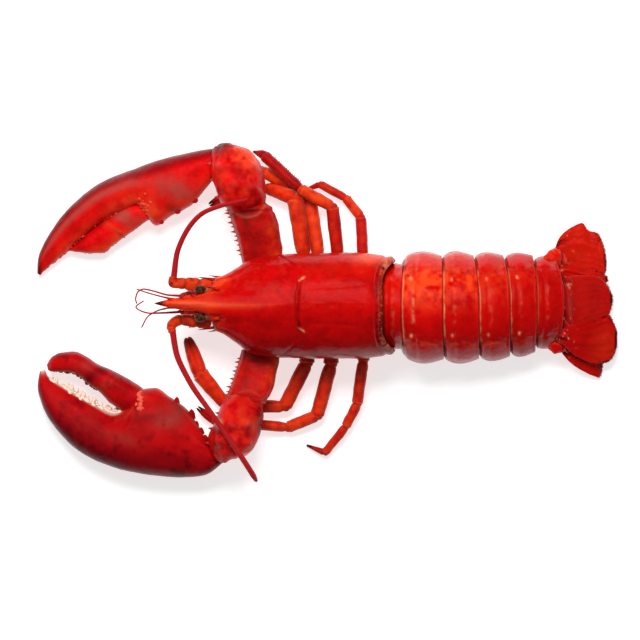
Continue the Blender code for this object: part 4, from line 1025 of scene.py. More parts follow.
armShape = {
    right: [(-48.5, 20.0, -68.5, 21.0, 12.5, 14.6), (-49.0, 31.0, -70.6, 31.0, 15.0, 16.2),
            (-51.0, 42.0, -73.4, 40.0, 17.5, 18.0), (-54.4, 49.4, -76.0, 48.0, 17.0, 19.5),
            (-59.0, 52.0, -74.6, 50.0, 11.0, 19.8)],
    left: [(-49.5, -20.5, -69.0, -21.5, 12.5, 14.6), (-51.0, -31.0, -71.5, -30.5, 15.0, 16.2),
           (-53.5, -41.0, -74.0, -38.5, 17.5, 18.0), (-57.4, -47.8, -77.0, -45.5, 17.0, 19.5),
           (-61.5, -50.0, -75.6, -47.5, 11.0, 19.8)],
    # rows of spines on the inner edge: shares of its length, then how long, how thick and how high
    "spines": [((0.17, 0.30, 0.42, 0.55, 0.68), 2.0, 1.2, 0.0),
               ((0.12, 0.24, 0.36, 0.49, 0.62, 0.74), 1.2, 0.8, 1.5),
               ((0.12, 0.24, 0.36, 0.49, 0.62, 0.74), 1.1, 0.7, -2.0)],
    "count": (110, 110), "squareness": 2.7, "ease": 0.03, "dark": {right: 0.19, left: 0.06},
}


def buildArm(side):
    grid, share, out, rise = bladeOf(armShape, side)
    mottle = ripple(grid, 4, 101 + side, 3)
    lap, hollow = lapOver(grid, side)
    # soft lumps, a groove across near the wrist, a ridge along the inner edge, and the wrist's rim
    relief = 0.35 * ripple(grid, 6, 103 + side, 2) + 0.08 * ripple(grid, 1.6, 105 + side)
    relief += 0.3 * bell(share - 0.73, 0.04) - 0.3 * bell(share - 0.67, 0.03)
    relief += 0.35 * bell(out + 0.75, 0.12) * (rise > 0) * (1 - step(share, 0.6, 0.7)) + 0.7 * lap
    tone = Tone(grid)
    tone.pale += 0.12 * lap
    tone.orange += 0.65 * step(out, 0.0, 0.8) * (0.65 + 0.7 * mottle) * (1 - step(share, 0.30, 0.60))
    tone.orange += 0.08 * step(mottle, 0.1, 0.6)
    tone.dark += 0.40 * bell(out + 0.25, 0.40) * (0.7 + 0.5 * mottle) * step(rise, 0, 0.4)
    tone.dark += armShape["dark"][side] + 0.15 * bell(share - 0.67, 0.03) + 0.12 * step(share, 0.64, 0.76)
    # painted shade in the hollow just under the wrist's overlapping rim
    tone.dark += 0.20 * hollow * step(share, 0.5, 0.6)
    item = meshOf(f"arm_{words[side]}", [swell(grid, relief)], [tone], "legShell")
    seeds = [seed for row in armShape["spines"] for seed in edgeSpines(armShape[side], *row)]
    grow(item, "legShell", seeds, spineShape(hornProfile, 9, (0.25, 0.0, 0.7, 0), (0, 0.9, 0.2, 0)), 0.12, 11)
    handIn(item, f"claw_arm_{words[side]}")


wristShape = {
    right: [(-57.0, 50.5, -75.0, 48.0, 13.0, 20.5), (-56.8, 55.0, -79.6, 52.5, 21.0, 21.5),
            (-57.5, 63.0, -82.2, 60.0, 25.0, 22.5), (-60.0, 71.0, -84.4, 67.5, 24.5, 22.5),
            (-65.0, 77.4, -84.8, 74.4, 20.0, 21.5), (-71.5, 80.4, -82.6, 79.5, 13.5, 20.5),
            (-75.0, 81.4, -79.5, 81.2, 5.0, 20.3)],
    left: [(-58.5, -48.0, -77.0, -45.5, 13.0, 20.5), (-58.2, -54.0, -79.5, -51.0, 21.0, 21.5),
           (-59.5, -62.0, -82.0, -58.0, 25.0, 22.5), (-62.5, -69.5, -85.5, -65.0, 24.0, 22.5),
           (-66.5, -73.8, -84.5, -71.0, 19.0, 21.5), (-73.5, -75.4, -82.4, -76.2, 12.0, 20.0),
           (-76.5, -76.8, -80.0, -77.4, 5.0, 19.8)],
    "count": (120, 120), "squareness": 2.4, "ease": 0.03, "lobe": 2.6,
    "spines": ((0.22, 0.40, 0.58), 2.2, 1.6, 2.0),
    # lumps on top: the share of the length, and the share of the way across
    "lumps": ((0.28, 0.30), (0.33, 0.62), (0.48, 0.15), (0.50, 0.45), (0.52, 0.78), (0.68, 0.30),
              (0.70, 0.62), (0.85, 0.45)),
    "lumpHeight": 1.5, "lumpReach": 2.2,
    # soft patches (x, y, reaches, lean), how strong the orange one is, and how dark the whole
    "orange": {right: (-68.0, 75.0, 7.5, 4.0, -0.5), left: (-66, -60, 5, 5, 0.0)},
    "dark": {right: (-79.5, 79.0, 6.0, 3.4, 0.3), left: (-58.5, -62.5, 2.5, 8.0, 0.2)},
    "pale": {right: (-71.5, 42.2, 2.0, 1.2, 0.0), left: (-80.5, -58, 1.6, 2.4, 0.0)},
    "glow": {right: 1.5, left: 0.8}, "shade": {right: 0.04, left: 0.20},
}


def buildWrist(side):
    rows, look = wristShape[side], wristShape
    grid, share, out, rise = bladeOf(look, side)
    grid[..., 1] -= side * look["lobe"] * (1 - out**2) * (1 - step(share, 0.0, 0.2))
    mottle, top = ripple(grid, 4, 111 + side, 3), step(rise, 0, 0.4)
    lap, hollow = lapOver(grid, side)
    lumps = 0
    for place, across in look["lumps"]:
        outer, inner = edgePlace(rows, place, 0), edgePlace(rows, place, 1)
        x, y = (outer + (inner - outer) * across)[:2]
        lumps = lumps + patch(grid, x, y, look["lumpReach"], look["lumpReach"])
    lumps = lumps * top
    # uneven all over, with a groove across by the claw, where the lumps die away
    relief = 0.60 * ripple(grid, 8, 113 + side, 2) + 0.10 * ripple(grid, 1.8, 115 + side)
    relief += look["lumpHeight"] * lumps - 0.5 * bell(share - 0.9, 0.03)
    relief *= 1 - 0.8 * step(share, 0.82, 0.98)
    relief += (0.8 * lap - 0.35 * hollow) * top
    tone = Tone(grid)
    tone.pale += 0.10 * lap + 0.6 * patch(grid, *look["pale"][side])
    tone.orange += (0.04 + 0.40 * mottle) * step(rise, -0.3, 0.3)
    tone.orange += look["glow"][side] * patch(grid, *look["orange"][side]) * (0.8 + 0.7 * mottle)
    tone.dark += 0.30 * step(-mottle, -0.1, 0.5) * step(rise, -0.2, 0.5) * (1 - lumps)
    # the hollow inside the rim is darkened as painted shade
    tone.dark += 0.95 * patch(grid, *look["dark"][side]) + 0.30 * hollow * top
    tone.dark += look["shade"][side] + 0.15 * step(share, 0.86, 0.97)
    tone.dull += 0.8 * lap + 0.30 * lumps
    item = meshOf(f"wrist_{words[side]}", [swell(grid, relief)], [tone], "clawShell")
    spine = spineShape(hornProfile, 12, (0.1, 0, 0.4, 0), (0, 0.7, 0.2, 0))
    grow(item, "clawShell", edgeSpines(rows, *look["spines"]), spine, 0.05, 17)
    handIn(item, f"claw_wrist_{words[side]}")


# The "spots" are soft patches (tone, amount, x, y, reaches, lean)
palmShape = {
    right: [(-80.5, 79.0, -83.0, 63.5, 11.0, 19.0), (-88.5, 77.8, -87.5, 58.0, 16.5, 16.0),
            (-98, 76, -95, 50, 20.0, 13.2), (-107, 73.8, -104, 45.5, 21.5, 11.6),
            (-115, 71.3, -111.5, 40.5, 22.0, 11.3), (-121, 69, -116.8, 45.5, 21.0, 11.2),
            (-127, 67, -121, 51, 19.5, 11.0), (-134, 64.2, -128, 47.8, 18.0, 10.4),
            (-142, 60.3, -136, 44, 16.5, 9.6), (-150, 53.8, -144, 38.5, 14.5, 8.6),
            (-157, 47.2, -151, 32.5, 12.5, 7.6), (-163, 39.5, -157.5, 26.5, 10.5, 6.6),
            (-168, 31, -163, 22, 8.5, 5.8), (-171, 23, -167.5, 18.2, 5.5, 5.0),
            (-171.2, 16.5, -169.6, 15.6, 2.2, 4.4)],
    left: [(-77.5, -77.0, -80.5, -69.5, 6.0, 18.0), (-81.5, -80.5, -86, -66.5, 12.0, 17.0),
           (-88, -84.4, -90.5, -59.5, 19.0, 14.5), (-96, -85.2, -96, -51.5, 23.5, 12.8),
           (-105.5, -85, -104.5, -45.2, 26.5, 12.9), (-116, -83.8, -112.5, -40.5, 27.5, 13.2),
           (-127, -82, -119.8, -41.6, 27.0, 13.0), (-136, -79.2, -125, -49, 25.0, 12.2),
           (-144, -75.8, -132.5, -53, 22.5, 11.2), (-152.5, -70.5, -141, -49.2, 20.0, 10.2),
           (-160, -63, -150, -44.3, 17.5, 9.4), (-166, -55, -157.5, -40, 15.0, 8.8),
           (-169.6, -46.5, -163, -37, 11.5, 8.4), (-171, -39.5, -166, -34.2, 8.0, 8.2),
           (-169.8, -32.2, -167.2, -31.6, 3.0, 8.2)],
    "piece": "palm", "count": (230, 140), "squareness": 2.3, "ease": 0.05,
    "rollShare": 1.0, "outerShare": 1.0,
    # where the biting edge starts and ends, how pale and dark it is, and its grains
    "teeth": {right: (0.50, 0.96), left: (0.535, 0.955)}, "bite": {right: (0.0, 0.45), left: (0.6, 0.1)},
    "granules": {right: 210, left: 84}, "granuleSize": {right: 0.60, left: 1.4},
    "granule": {right: (0.06, 0.10, 1.0, 0), left: (1.0, 0.0, 0.1, 0)},
    # the painted sheen along the palm, laid on in the dull tone: middle, width, amount
    "sheenBand": {right: (0.60, 0.22, 0.95), left: (0.1, 0.2, 0.12)},
    # the lumps round the finger's hinge, and the knobs of the inner edge
    "hinge": {right: (-116.8, 50.0, 2.9, 3.6), left: (-119.8, -46.5, 1.0, 4.0)}, "hingeLumps": 46,
    "hingeTone": {right: (0.03, 0.0, 1.2, 0), left: (0.10, 0.12, 0.8, 0)},
    "knobs": {right: ((0.12, 0.19, 0.26), 1.0, 1.9, 1.6),
              left: ((0.085, 0.12, 0.155, 0.19, 0.26), 2.2, 1.45, 1.6)},
    "spots": {
        right: [("dull", 1.3, -101.0, 58.5, 11, 5.4, -0.25), ("orange", 1.2, -114.0, 50.0, 3.5, 5.0, 0.3),
                # the first dark spot here, along the lower edge near the wrist, is painted shade
                ("dark", 0.70, -100.5, 47.0, 12, 2.6, -0.5), ("dark", 0.9, -170.5, 18, 3, 5, 0),
                ("orange", 0.7, -124.5, 54.0, 9, 4, 0.45)],
        left: [("dull", 0.9, -103, -53, 10, 6, 0.5), ("orange", 0.6, -118.6, -44, 3.5, 3.5, 0),
               ("dark", 0.36, -147, -64, 24, 9.5, -0.66), ("orange", 0.45, -130, -51.5, 8, 1.8, -0.1),
               ("dull", 0.7, -107.5, -58.0, 4.5, 2.6, 0.3), ("dark", 0.35, -117, -55.5, 7, 2.0, 0.2),
               ("dark", 0.30, -100, -48.5, 3, 5, 0.4), ("dull", 0.5, -128, -66, 9, 3, -0.4),
               ("dark", 0.30, -100, -74, 18, 4, -0.12), ("dull", 0.15, -146, -57, 11, 3, 0.75),
               ("pale", 0.75, -168.5, -31.0, 3.0, 2.0, 0), ("dark", 0.5, -121.5, -49, 1.0, 5.0, 0.1)],
    },
}
fingerShape = {
    right: [(-113.5, 52.5, -110.5, 45.0, 12.0, 9.0), (-119.8, 53.0, -116.4, 42.6, 14.0, 8.8),
            (-126, 52.2, -121.2, 39.2, 14.5, 8.4), (-132, 48.2, -127, 35, 14.0, 8.0),
            (-138.5, 43, -133, 30.6, 13.0, 7.4), (-145, 38, -138.5, 26.8, 11.5, 6.8),
            (-151, 32.5, -145, 26.6, 9.5, 6.0), (-155.2, 29.4, -151.0, 27.2, 6.0, 5.2),
            (-156.6, 28.4, -155.4, 27.8, 2.4, 4.8)],
    left: [(-114.5, -44.0, -125.0, -56.0, 14.0, 12.6), (-120.6, -39.0, -131.2, -50.6, 17.0, 12.6),
           (-126.5, -35.5, -135.5, -47.4, 18.5, 12.4), (-134, -31.5, -140.5, -42.2, 18.0, 12.0),
           (-141, -28.5, -146, -38.8, 16.5, 11.5), (-146.5, -24.8, -150.5, -34.7, 15.5, 11.0),
           (-152.5, -22.4, -155, -33, 14.0, 10.4), (-159, -22.8, -160, -32.7, 11.5, 9.8),
           (-164, -25.4, -163.6, -32.6, 8.0, 9.2), (-166.3, -29, -165.6, -31.8, 3.0, 8.8)],
    "piece": "finger", "count": (140, 96), "squareness": 2.3, "ease": 0.04,
    "rollShare": 0.8, "outerShare": 0.45,
    "teeth": {right: (0.24, 0.95), left: (0.30, 0.9)}, "bite": {right: (0.0, 0.75), left: (0.0, 0.75)},
    "granules": {right: 70, left: 28}, "granuleSize": {right: 0.33, left: 0.77},
    "granule": {right: (0.0, 0.5, 0.3, 0), left: (0.0, 0.5, 0.3, 0)},
    "spots": {
        right: [("dull", 1.5, -126.5, 45.0, 9, 3.4, -0.5), ("orange", 1.1, -128.5, 35.6, 14, 1.3, -0.60),
                ("dark", 0.5, -126, 33.6, 16, 1.0, -0.6), ("orange", 0.6, -114.5, 47.5, 3, 3, 0.0),
                ("dark", 0.25, -150, 30, 7, 4, -0.5)],
        left: [("dull", 0.8, -131, -35.5, 9, 2.2, 0.55), ("orange", 0.9, -131, -35.0, 9, 1.0, 0.55),
               ("orange", 0.5, -119, -42, 3, 3, 0.2), ("dull", 0.5, -146, -29, 7, 3.0, 0.4),
               ("dark", 0.45, -146, -36.5, 14, 3.0, 0.55)],
    },
}
# what a palm and its finger share: roll, how dark and orange the edges and the whole are
clawLooks = {
    right: {"roll": math.radians(18), "outerDark": 0.78, "outerFrom": 0.60, "innerOrange": 1.0,
            "innerFrom": -0.2, "dark": 0.0, "patchy": 0.10, "granuleSpread": 0.32},
    left: {"roll": 0.0, "outerDark": 0.42, "outerFrom": 0.10, "innerOrange": 0.1, "innerFrom": 0.3,
           "dark": 0.37, "patchy": 0.30, "granuleSpread": 0.25},
}


def buildClawPiece(side, shape, seed):
    look, piece, word = clawLooks[side], shape["piece"], words[side]
    grid, share, out, rise = bladeOf(shape, side, look["roll"] * shape["rollShare"])
    low, high = shape["teeth"][side]
    mottle, upper = ripple(grid, 6, seed, 3), step(rise, -0.4, 0.3)
    relief = 0.07 * ripple(grid, 16, seed + 1, 2) + 0.12 * ripple(grid, 4, seed + 2, 2)
    relief += 0.03 * ripple(grid, 1.2, seed + 3)
    relief *= np.clip(share * 12, 0, 1) * np.clip((1 - share) * 8, 0, 1)
    # a dark outer edge, an orange inner one, and soft patches over the whole
    tone = Tone(grid)
    edgeFrom = look["outerFrom"] - 0.7 * step(-rise, -0.1, 0.4)
    tone.dark += look["outerDark"] * step(out, edgeFrom, 1.0) * shape["outerShare"] + look["dark"]
    tone.dark += look["patchy"] * step(-mottle, 0.05, 0.7) * (0.6 + 0.6 * ripple(grid, 2.2, seed + 9, 2))
    tone.orange += look["innerOrange"] * step(-out, look["innerFrom"], 0.85) * upper * (0.6 + 0.5 * mottle)
    if piece == "palm":
        # a painted sheen along the middle of the palm, in the dull tone
        middle, wide, amount = shape["sheenBand"][side]
        sheenBand = bell(out - middle, wide) * step(share, 0.28, 0.45) * (1 - step(share, 0.82, 0.96))
        tone.dull += amount * sheenBand * upper
        tone.dark += 0.35 * (1 - step(share, 0.015, 0.05))
    for kind, amount, *place in shape["spots"][side]:
        level = getattr(tone, kind)
        level += amount * patch(grid, *place) * upper * (0.75 + 0.5 * mottle)
    # the biting edge and its grains
    bite = step(share, low - 0.02, low + 0.02) * (1 - step(share, high - 0.02, high + 0.02))
    bite = bite * step(-out, 0.80, 0.97)
    pale, dark = shape["bite"][side]
    tone.pale += bite * pale
    tone.dark += bite * dark * (0.7 + 0.6 * mottle)
    tone.orange -= bite * dark
    grid = swell(grid, relief)
    item = meshOf(f"{piece}_{word}", [grid], [tone], "clawShell")
    mask = step(share, low, low + 0.03) * (1 - step(share, high - 0.02, high)) * (out < 0)
    mask = mask * bell(rise - 0.05, look["granuleSpread"])
    size = shape["granuleSize"][side]
    granules = scatteredKnobs(grid, mask, shape["granules"][side], size, 0.75, seed + 4)
    if piece == "palm" and side == left:
        # more lumps further into the gap, each joined to one at the edge
        reach = np.array([0.45, 0.75, -0.15]) * size * 1.2
        granules += [(foot + reach, tip + reach, radius * 0.85) for foot, tip, radius in granules[::2]]
    grow(item, "clawShell", granules, spineShape(knobProfile, 10, shape["granule"][side]), 0.2, 15)
    if piece == "palm":
        hinge = patch(grid, *shape["hinge"][side]) * upper
        lumps = scatteredKnobs(grid, hinge, shape["hingeLumps"], 0.85, 0.6, seed + 6)
        grow(item, "clawShell", lumps, spineShape(knobProfile, 12, shape["hingeTone"][side]), 0.3, 18)
        knobs = edgeSpines(shape[side], *shape["knobs"][side])
        grow(item, "clawShell", knobs, spineShape(knobProfile, 14, (0, 0.50, 0.1, 0)), 0.35, 16)
    handIn(item, f"claw_{piece}_{word}")


for side in (right, left):
    buildArm(side)
    buildWrist(side)
    buildClawPiece(side, palmShape, 120 + side)
    buildClawPiece(side, fingerShape, 130 + side)
print("arms and claws built")


# Walking legs: x, y, height and radius of each joint

legs = {
    "leg_1_right": [(-37, 16.2, 8.8, 3.4), (-38, 25, 9.0, 3.8), (-42.4, 54, 9.8, 3.9),
                    (-56, 59, 5.2, 2.9), (-78, 54.6, 3.6, 2.6), (-85.3, 50.8, 2.6, 0.9)],
    "leg_2_right": [(-29.8, 16.2, 8.4, 3.0), (-30.8, 25, 7.0, 3.5), (-35.2, 54, 4.0, 3.3),
                    (-57.5, 67.2, 3.6, 2.9), (-74, 70, 3.0, 2.2), (-82, 66.5, 1.4, 0.6)],
    "leg_3_right": [(-20.6, 15.6, 8.6, 3.0), (-21, 25, 8.8, 3.3), (-23.8, 49.6, 11.4, 3.0),
                    (-39.5, 58.4, 12.8, 2.8), (-58, 75.6, 8.6, 2.6), (-63.4, 77.4, 7.4, 0.6)],
    "leg_4_right": [(-9, 14.6, 9.4, 2.6), (-8.6, 25, 9.4, 2.8), (-9.6, 44.5, 8.6, 2.5),
                    (-17, 54, 6.6, 2.2), (-29.8, 61, 4.0, 1.9), (-38, 58, 1.4, 0.5)],
    "leg_1_left": [(-36, -16.4, 9, 3.4), (-36.6, -28, 9, 3.7), (-47.6, -50, 6.2, 3.2),
                   (-76.5, -49.6, 4.6, 3.1), (-90, -33.5, 5.4, 4.0), (-96.2, -15.4, 5.2, 2.7)],
    "leg_2_left": [(-24.6, -16.4, 9, 3.2), (-24.4, -28.5, 8.6, 3.6), (-31.4, -54.4, 6.4, 3.2),
                   (-46, -60.4, 4.4, 2.8), (-83, -57, 3.9, 2.4), (-91.4, -50.2, 4.6, 1.0)],
    "leg_3_left": [(-15.6, -15.0, 8.6, 2.8), (-15.2, -22.5, 8.4, 3.2), (-20.5, -17.6, 2.8, 2.4),
                   (-36, -17.0, 2.4, 2.0), (-52, -16.8, 2.0, 1.6), (-58, -16.0, 1.2, 0.5)],
    "leg_4_left": [(-8, -14.6, 9.2, 2.6), (-8.4, -27, 9.2, 2.9), (-11.4, -48.5, 7.6, 2.6),
                   (-17, -59.8, 6.0, 2.2), (-27.4, -73, 3.4, 2.0), (-36.6, -69.4, 1.4, 0.5)],
}
legLooks = {
    "pincers": ("leg_1_right", "leg_2_right", "leg_1_left", "leg_2_left"),
    # how orange and how dark the stretches of each leg are
    "orange": {"leg_1_right": (0.5, 0.55, 0.5, 0.3, 0.2), "leg_2_right": (0.5, 0.6, 0.65, 0.6, 0.2),
               "leg_3_right": (0.2, 0.15, 0.7, 0.0, 0.0), "leg_4_right": (0.1, 0.1, 0.6, 0.3, 0.1),
               "leg_1_left": (0.35, 0.4, 0.5, 0.5, 0.4), "leg_2_left": (0.35, 0.45, 0.5, 0.4, 0.1),
               "leg_3_left": (0.4, 0.4, 0.4, 0.4, 0.2), "leg_4_left": (0.3, 0.35, 0.45, 0.3, 0.1)},
    "dark": {"leg_1_right": (0.1, 0.03, 0.0, 0.1, 0.3), "leg_2_right": (0.1, 0.0, 0.0, 0.05, 0.3),
             "leg_3_right": (0.1, 0.12, 0.0, 0.34, 0.4), "leg_4_right": (0.1, 0.12, 0.0, 0.15, 0.3),
             "leg_1_left": (0.05, 0.05, 0.05, 0.0, 0.0), "leg_2_left": (0.0, 0.0, 0.05, 0.05, 0.2),
             "leg_3_left": (0.1, 0.1, 0.1, 0.1, 0.2), "leg_4_left": (0.0, 0.0, 0.05, 0.1, 0.2)},
    # each kind of stretch: profile (share, radius), rings, sides, how tall for its width, how far it bends up
    "stretch": ([(0.0, 0.50), (0.03, 0.78), (0.12, 0.97), (0.5, 1.04), (0.86, 1.05), (0.94, 1.09),
                 (0.98, 1.04), (1.0, 0.86)], 44, 30, 0.92, 0.012),
    "pointed": ([(0.0, 0.42), (0.05, 0.74), (0.2, 1.0), (0.5, 1.0), (1.0, 0.95)], 40, 22, 0.95, 0.05),
    "fingertip": ([(0.0, 0.9), (0.1, 1.05), (0.5, 1.0), (0.85, 0.85), (0.96, 0.6), (1.0, 0.3)],
                  34, 20, 1.1, 0.03),
    "knee": ([(0, 0.3), (0.15, 0.8), (0.5, 1.0), (0.85, 0.8), (1, 0.3)], 12, 20, 0.92, 0.0),
    "closed": 0.36, "fingerWidth": 0.66, "toothed": "leg_3_right", "teeth": 16,
}


def stretchGrid(start, finish, radii, kind, shift=0.0):
    # one stretch of a leg, which shift moves sideways
    profile, rings, sides, tall, bow = legLooks[kind]
    way = finish - start
    length = np.linalg.norm(way)
    ahead = way / length
    across = np.cross(ahead, [0.0, 0.0, 1.0])
    across /= np.linalg.norm(across)
    up = np.cross(across, ahead)
    t = 0.5 - 0.5 * np.cos(np.pi * np.linspace(0, 1, rings))
    radius = (radii[0] + (radii[1] - radii[0]) * t) * smoothKeys(profile, t)
    arc = np.sin(np.pi * t)
    centre = start + way * column(t) + up * column(bow * length * arc)
    centre = centre + across * column(shift * (0.6 + 0.4 * arc))
    turn = circle(sides)
    ring = across * column(np.cos(turn)) + up * column(np.sin(turn)) * tall
    grid = centre[:, None] + ring * radius[:, None, None]
    grid[..., 2] = np.maximum(grid[..., 2], boxGap)
    return grid, column(t)


def buildLeg(name, joints, seed):
    table = np.array(joints, float)
    places, radii = table[:, :3], table[:, 3]
    last = len(joints) - 2
    pincer = name in legLooks["pincers"]
    grids, tones = [], []
    for i in range(last + 1):
        orange, dark = legLooks["orange"][name][i], legLooks["dark"][name][i]
        start, finish, thick, thin = places[i], places[i + 1], radii[i], radii[i + 1]
        if i == last and pincer:
            wide, apart = legLooks["fingerWidth"], thick * legLooks["closed"]
            sizes = (thick * wide, max(thin * wide, 0.5))
            parts = [stretchGrid(start, finish, sizes, "fingertip", shift) for shift in (apart, -apart)]
        else:
            parts = [stretchGrid(start, finish, (thick, thin), "pointed" if i == last else "stretch")]
        for grid, t in parts:
            mottle = ripple(grid, 3.0, seed + i, 3)
            tone = Tone(grid)
            tone.orange += orange * (0.85 + 0.7 * mottle)
            tone.pale += 0.15 * bell(t - 0.97, 0.012) * step(mottle, -0.3, 0.4)
            # painted shade darkens both flanks of each stretch, where its surface turns away from the light
            facing = np.abs(np.cos(circle(grid.shape[1])))
            tone.dark += dark + 0.38 * facing**5 + 0.12 * step(-mottle, 0.0, 0.7)
            tone.dark += 0.30 * (1 - step(t, 0.02, 0.08)) * (i > 0)
            if i == last:
                tone.dark += step(t, 0.50, 0.95) * (0.75 if pincer else 1.0)
                tone.orange *= 1 - 0.5 * step(t, 0.35, 0.9)
            grids.append(swell(grid, 0.18 * ripple(grid, 3.5, seed + 20 + i, 2)))
            tones.append(tone)
        if i < last:
            # a small lump fills each joint
            ahead = (finish - start) / np.linalg.norm(finish - start) * thin * 0.7
            knee, t = stretchGrid(finish - ahead, finish + ahead, (thin * 0.9, thin * 0.9), "knee")
            grids.append(knee)
            tones.append(Tone(knee, 0.0, dark + 0.2, orange))
    item = meshOf(name.replace("leg", "walkingLeg"), grids, tones, "legShell")
    if name == legLooks["toothed"]:
        # the wide shin of this leg has small teeth along its front edge
        way = places[4] - places[3]
        out = np.array([way[1], -way[0], 0.0]) / np.hypot(way[0], way[1])
        seeds = []
        for share in np.linspace(0.12, 0.9, legLooks["teeth"]):
            foot, reach = places[3] + way * share, radii[3] + (radii[4] - radii[3]) * share
            seeds.append((foot + out * reach * 0.8, foot + out * (reach + 0.8), 0.45))
        grow(item, "legShell", seeds, spineShape(hornProfile, 7, (0, 0.6, 0.2, 0)), 0.2, 21)
    handIn(item, name)


for number, (name, joints) in enumerate(legs.items()):
    buildLeg(name, joints, 200 + 7 * number)
print("walking legs built")


# Head: feelers, eyes and mouth

head = {
    "feeler_base_right": [(-83.2, 9.4, 26.4, 3.4), (-90, 10.6, 26.4, 3.5), (-97, 11.2, 26.8, 2.9),
                          (-103.2, 11.8, 27, 2.2), (-103.0, 15.2, 27.2, 1.7)],
    "feeler_base_left": [(-83.9, -7.4, 26.4, 3.4), (-91, -7.2, 26.2, 3.4), (-99, -6.6, 26.4, 2.8),
                         (-103.9, -9.8, 26.6, 2.2), (-103.4, -13.4, 26.7, 1.7)],
    "feeler_right": [(-102.6, 14.6, 27.2, 1.6), (-101.2, 25.5, 28.2, 1.4), (-95.2, 39, 30.2, 1.3),
                     (-87.6, 46.6, 32.6, 1.2), (-79, 49.9, 35.0, 1.1), (-66, 53.0, 37.6, 0.9)],
    "feeler_left": [(-103.2, -12.6, 26.6, 1.6), (-101.4, -23, 27.4, 1.5), (-94.6, -37.6, 30.6, 1.4),
                    (-83, -54.2, 36.4, 1.3), (-70.6, -72, 38.6, 1.4), (-63.4, -83.4, 34.6, 1.4),
                    (-61.6, -86.5, 32.0, 0.75), (-62.2, -86.3, 29.6, 0.7), (-66, -80.6, 27.4, 0.6),
                    (-69.4, -75.6, 26.6, 0.4)],
    "antennule_right_outer": [(-97.4, 5.2, 31.6, 0.75), (-105, 5.6, 31, 0.5), (-112.5, 7.6, 30, 0.42),
                              (-117.5, 8.6, 29, 0.4), (-120.6, 7, 28, 0.38), (-121.6, 3.6, 27, 0.36),
                              (-121, 1.4, 26.4, 0.34)],
    "antennule_right_inner": [(-97.4, 3.2, 32.0, 0.7), (-104, 3.9, 33, 0.5), (-110, 5.2, 33.4, 0.4),
                              (-116, 6.9, 33, 0.36), (-121, 8.6, 32, 0.34)],
    "antennule_left_outer": [(-97.4, -2.6, 31.6, 0.75), (-107.5, -3.2, 30.6, 0.5), (-114, -3.4, 29.2, 0.42),
                             (-119, -2.2, 28, 0.38), (-121.4, -0.2, 27.4, 0.36), (-117.6, 2.8, 27, 0.34)],
    "antennule_left_inner": [(-97.4, -0.6, 32.0, 0.7), (-104, -0.7, 32.6, 0.5), (-109, -1.6, 32.4, 0.4),
                             (-115.4, -5, 31, 0.36), (-118.6, -10.5, 29, 0.34)],
    # distance of the rings, how deep they are, and how many places along
    "longFeeler": (0.8, 0.12, 90), "shortFeeler": (0.7, 0.15, 50), "feelerSides": 14,
    # tones and waist of the tubes
    "feelerBaseTone": (0.0, 0.05, 0.60, 0), "shortFeelerBaseTone": (0.0, 0.1, 0.6, 0), "waist": 0.11,
    "shortFeelerBase": [(-85.8, 31.0, 1.7), (-90, 31.2, 1.8), (-94, 31.6, 1.5), (-96.9, 31.8, 1.2)],
    "shortFeelerY": {right: 4.2, left: -1.6}, "middle": 1.1,
}


def feelerTree():
    sizes = {"Ring Spacing": "Float", "Ring Depth": "Float", "Sides": "Int"}
    group, build, inputs = newGroup("ringed feeler", sizes)
    spacing = inputs.other("Ring Spacing")
    line = build.node("GeometryNodeMeshToCurve", None, {"Mesh": inputs.other("Geometry")})
    line = build.node("GeometryNodeResampleCurve", {"mode": "LENGTH"}, {"Curve": line, "Length": spacing / 5})
    along = build.node("GeometryNodeSplineParameter", None, None, "Length")
    girth = build.node("GeometryNodeInputNamedAttribute", {"data_type": "FLOAT"}, {"Name": "girth"})
    saw = build.node("ShaderNodeMath", {"operation": "FRACT"}, {0: along / spacing})
    radius = girth * (1 + (saw - 0.5) * inputs.other("Ring Depth"))
    dark = build.node("FunctionNodeCombineColor", None, {"Red": 0.0, "Green": 0.22 - saw * 0.4, "Blue": 0.03})
    line = build.node("GeometryNodeStoreNamedAttribute", {"data_type": "FLOAT_COLOR", "domain": "POINT"},
                      {"Geometry": line, "Name": "tone", "Value": dark})
    ring = build.node("GeometryNodeCurvePrimitiveCircle", None,
                      {"Resolution": inputs.other("Sides"), "Radius": 1.0})
    tube = build.node("GeometryNodeCurveToMesh", None,
                      {"Curve": line, "Profile Curve": ring, "Scale": radius, "Fill Caps": True})
    endGroup(build, inputs, build.node("GeometryNodeSetShadeSmooth", None, {"Geometry": tube}))
    return group


ringTree = feelerTree()


def buildFeeler(name, look):
    # a line along the feeler's middle carries its girth, and the tree makes a ringed tube of it
    spacing, depth, count = look
    places = alongRows(head[name], np.linspace(0, 1, count))
    mesh = bpy.data.meshes.new(name)
    mesh.from_pydata(((places[:, :3] + home) * mm).tolist(), [(i, i + 1) for i in range(count - 1)], [])
    girth = mesh.attributes.new("girth", "FLOAT", "POINT")
    girth.data.foreach_set("value", (places[:, 3] * mm).astype(np.float32))
    item = addObject(name.replace("feeler", "longFeeler").replace("antennule", "shortFeeler"), mesh)
    runGroup(item, ringTree, {
        "Ring Spacing": spacing * mm, "Ring Depth": depth, "Sides": head["feelerSides"],
        "Finish": paints["feeler"],
    })
    handIn(item, name)


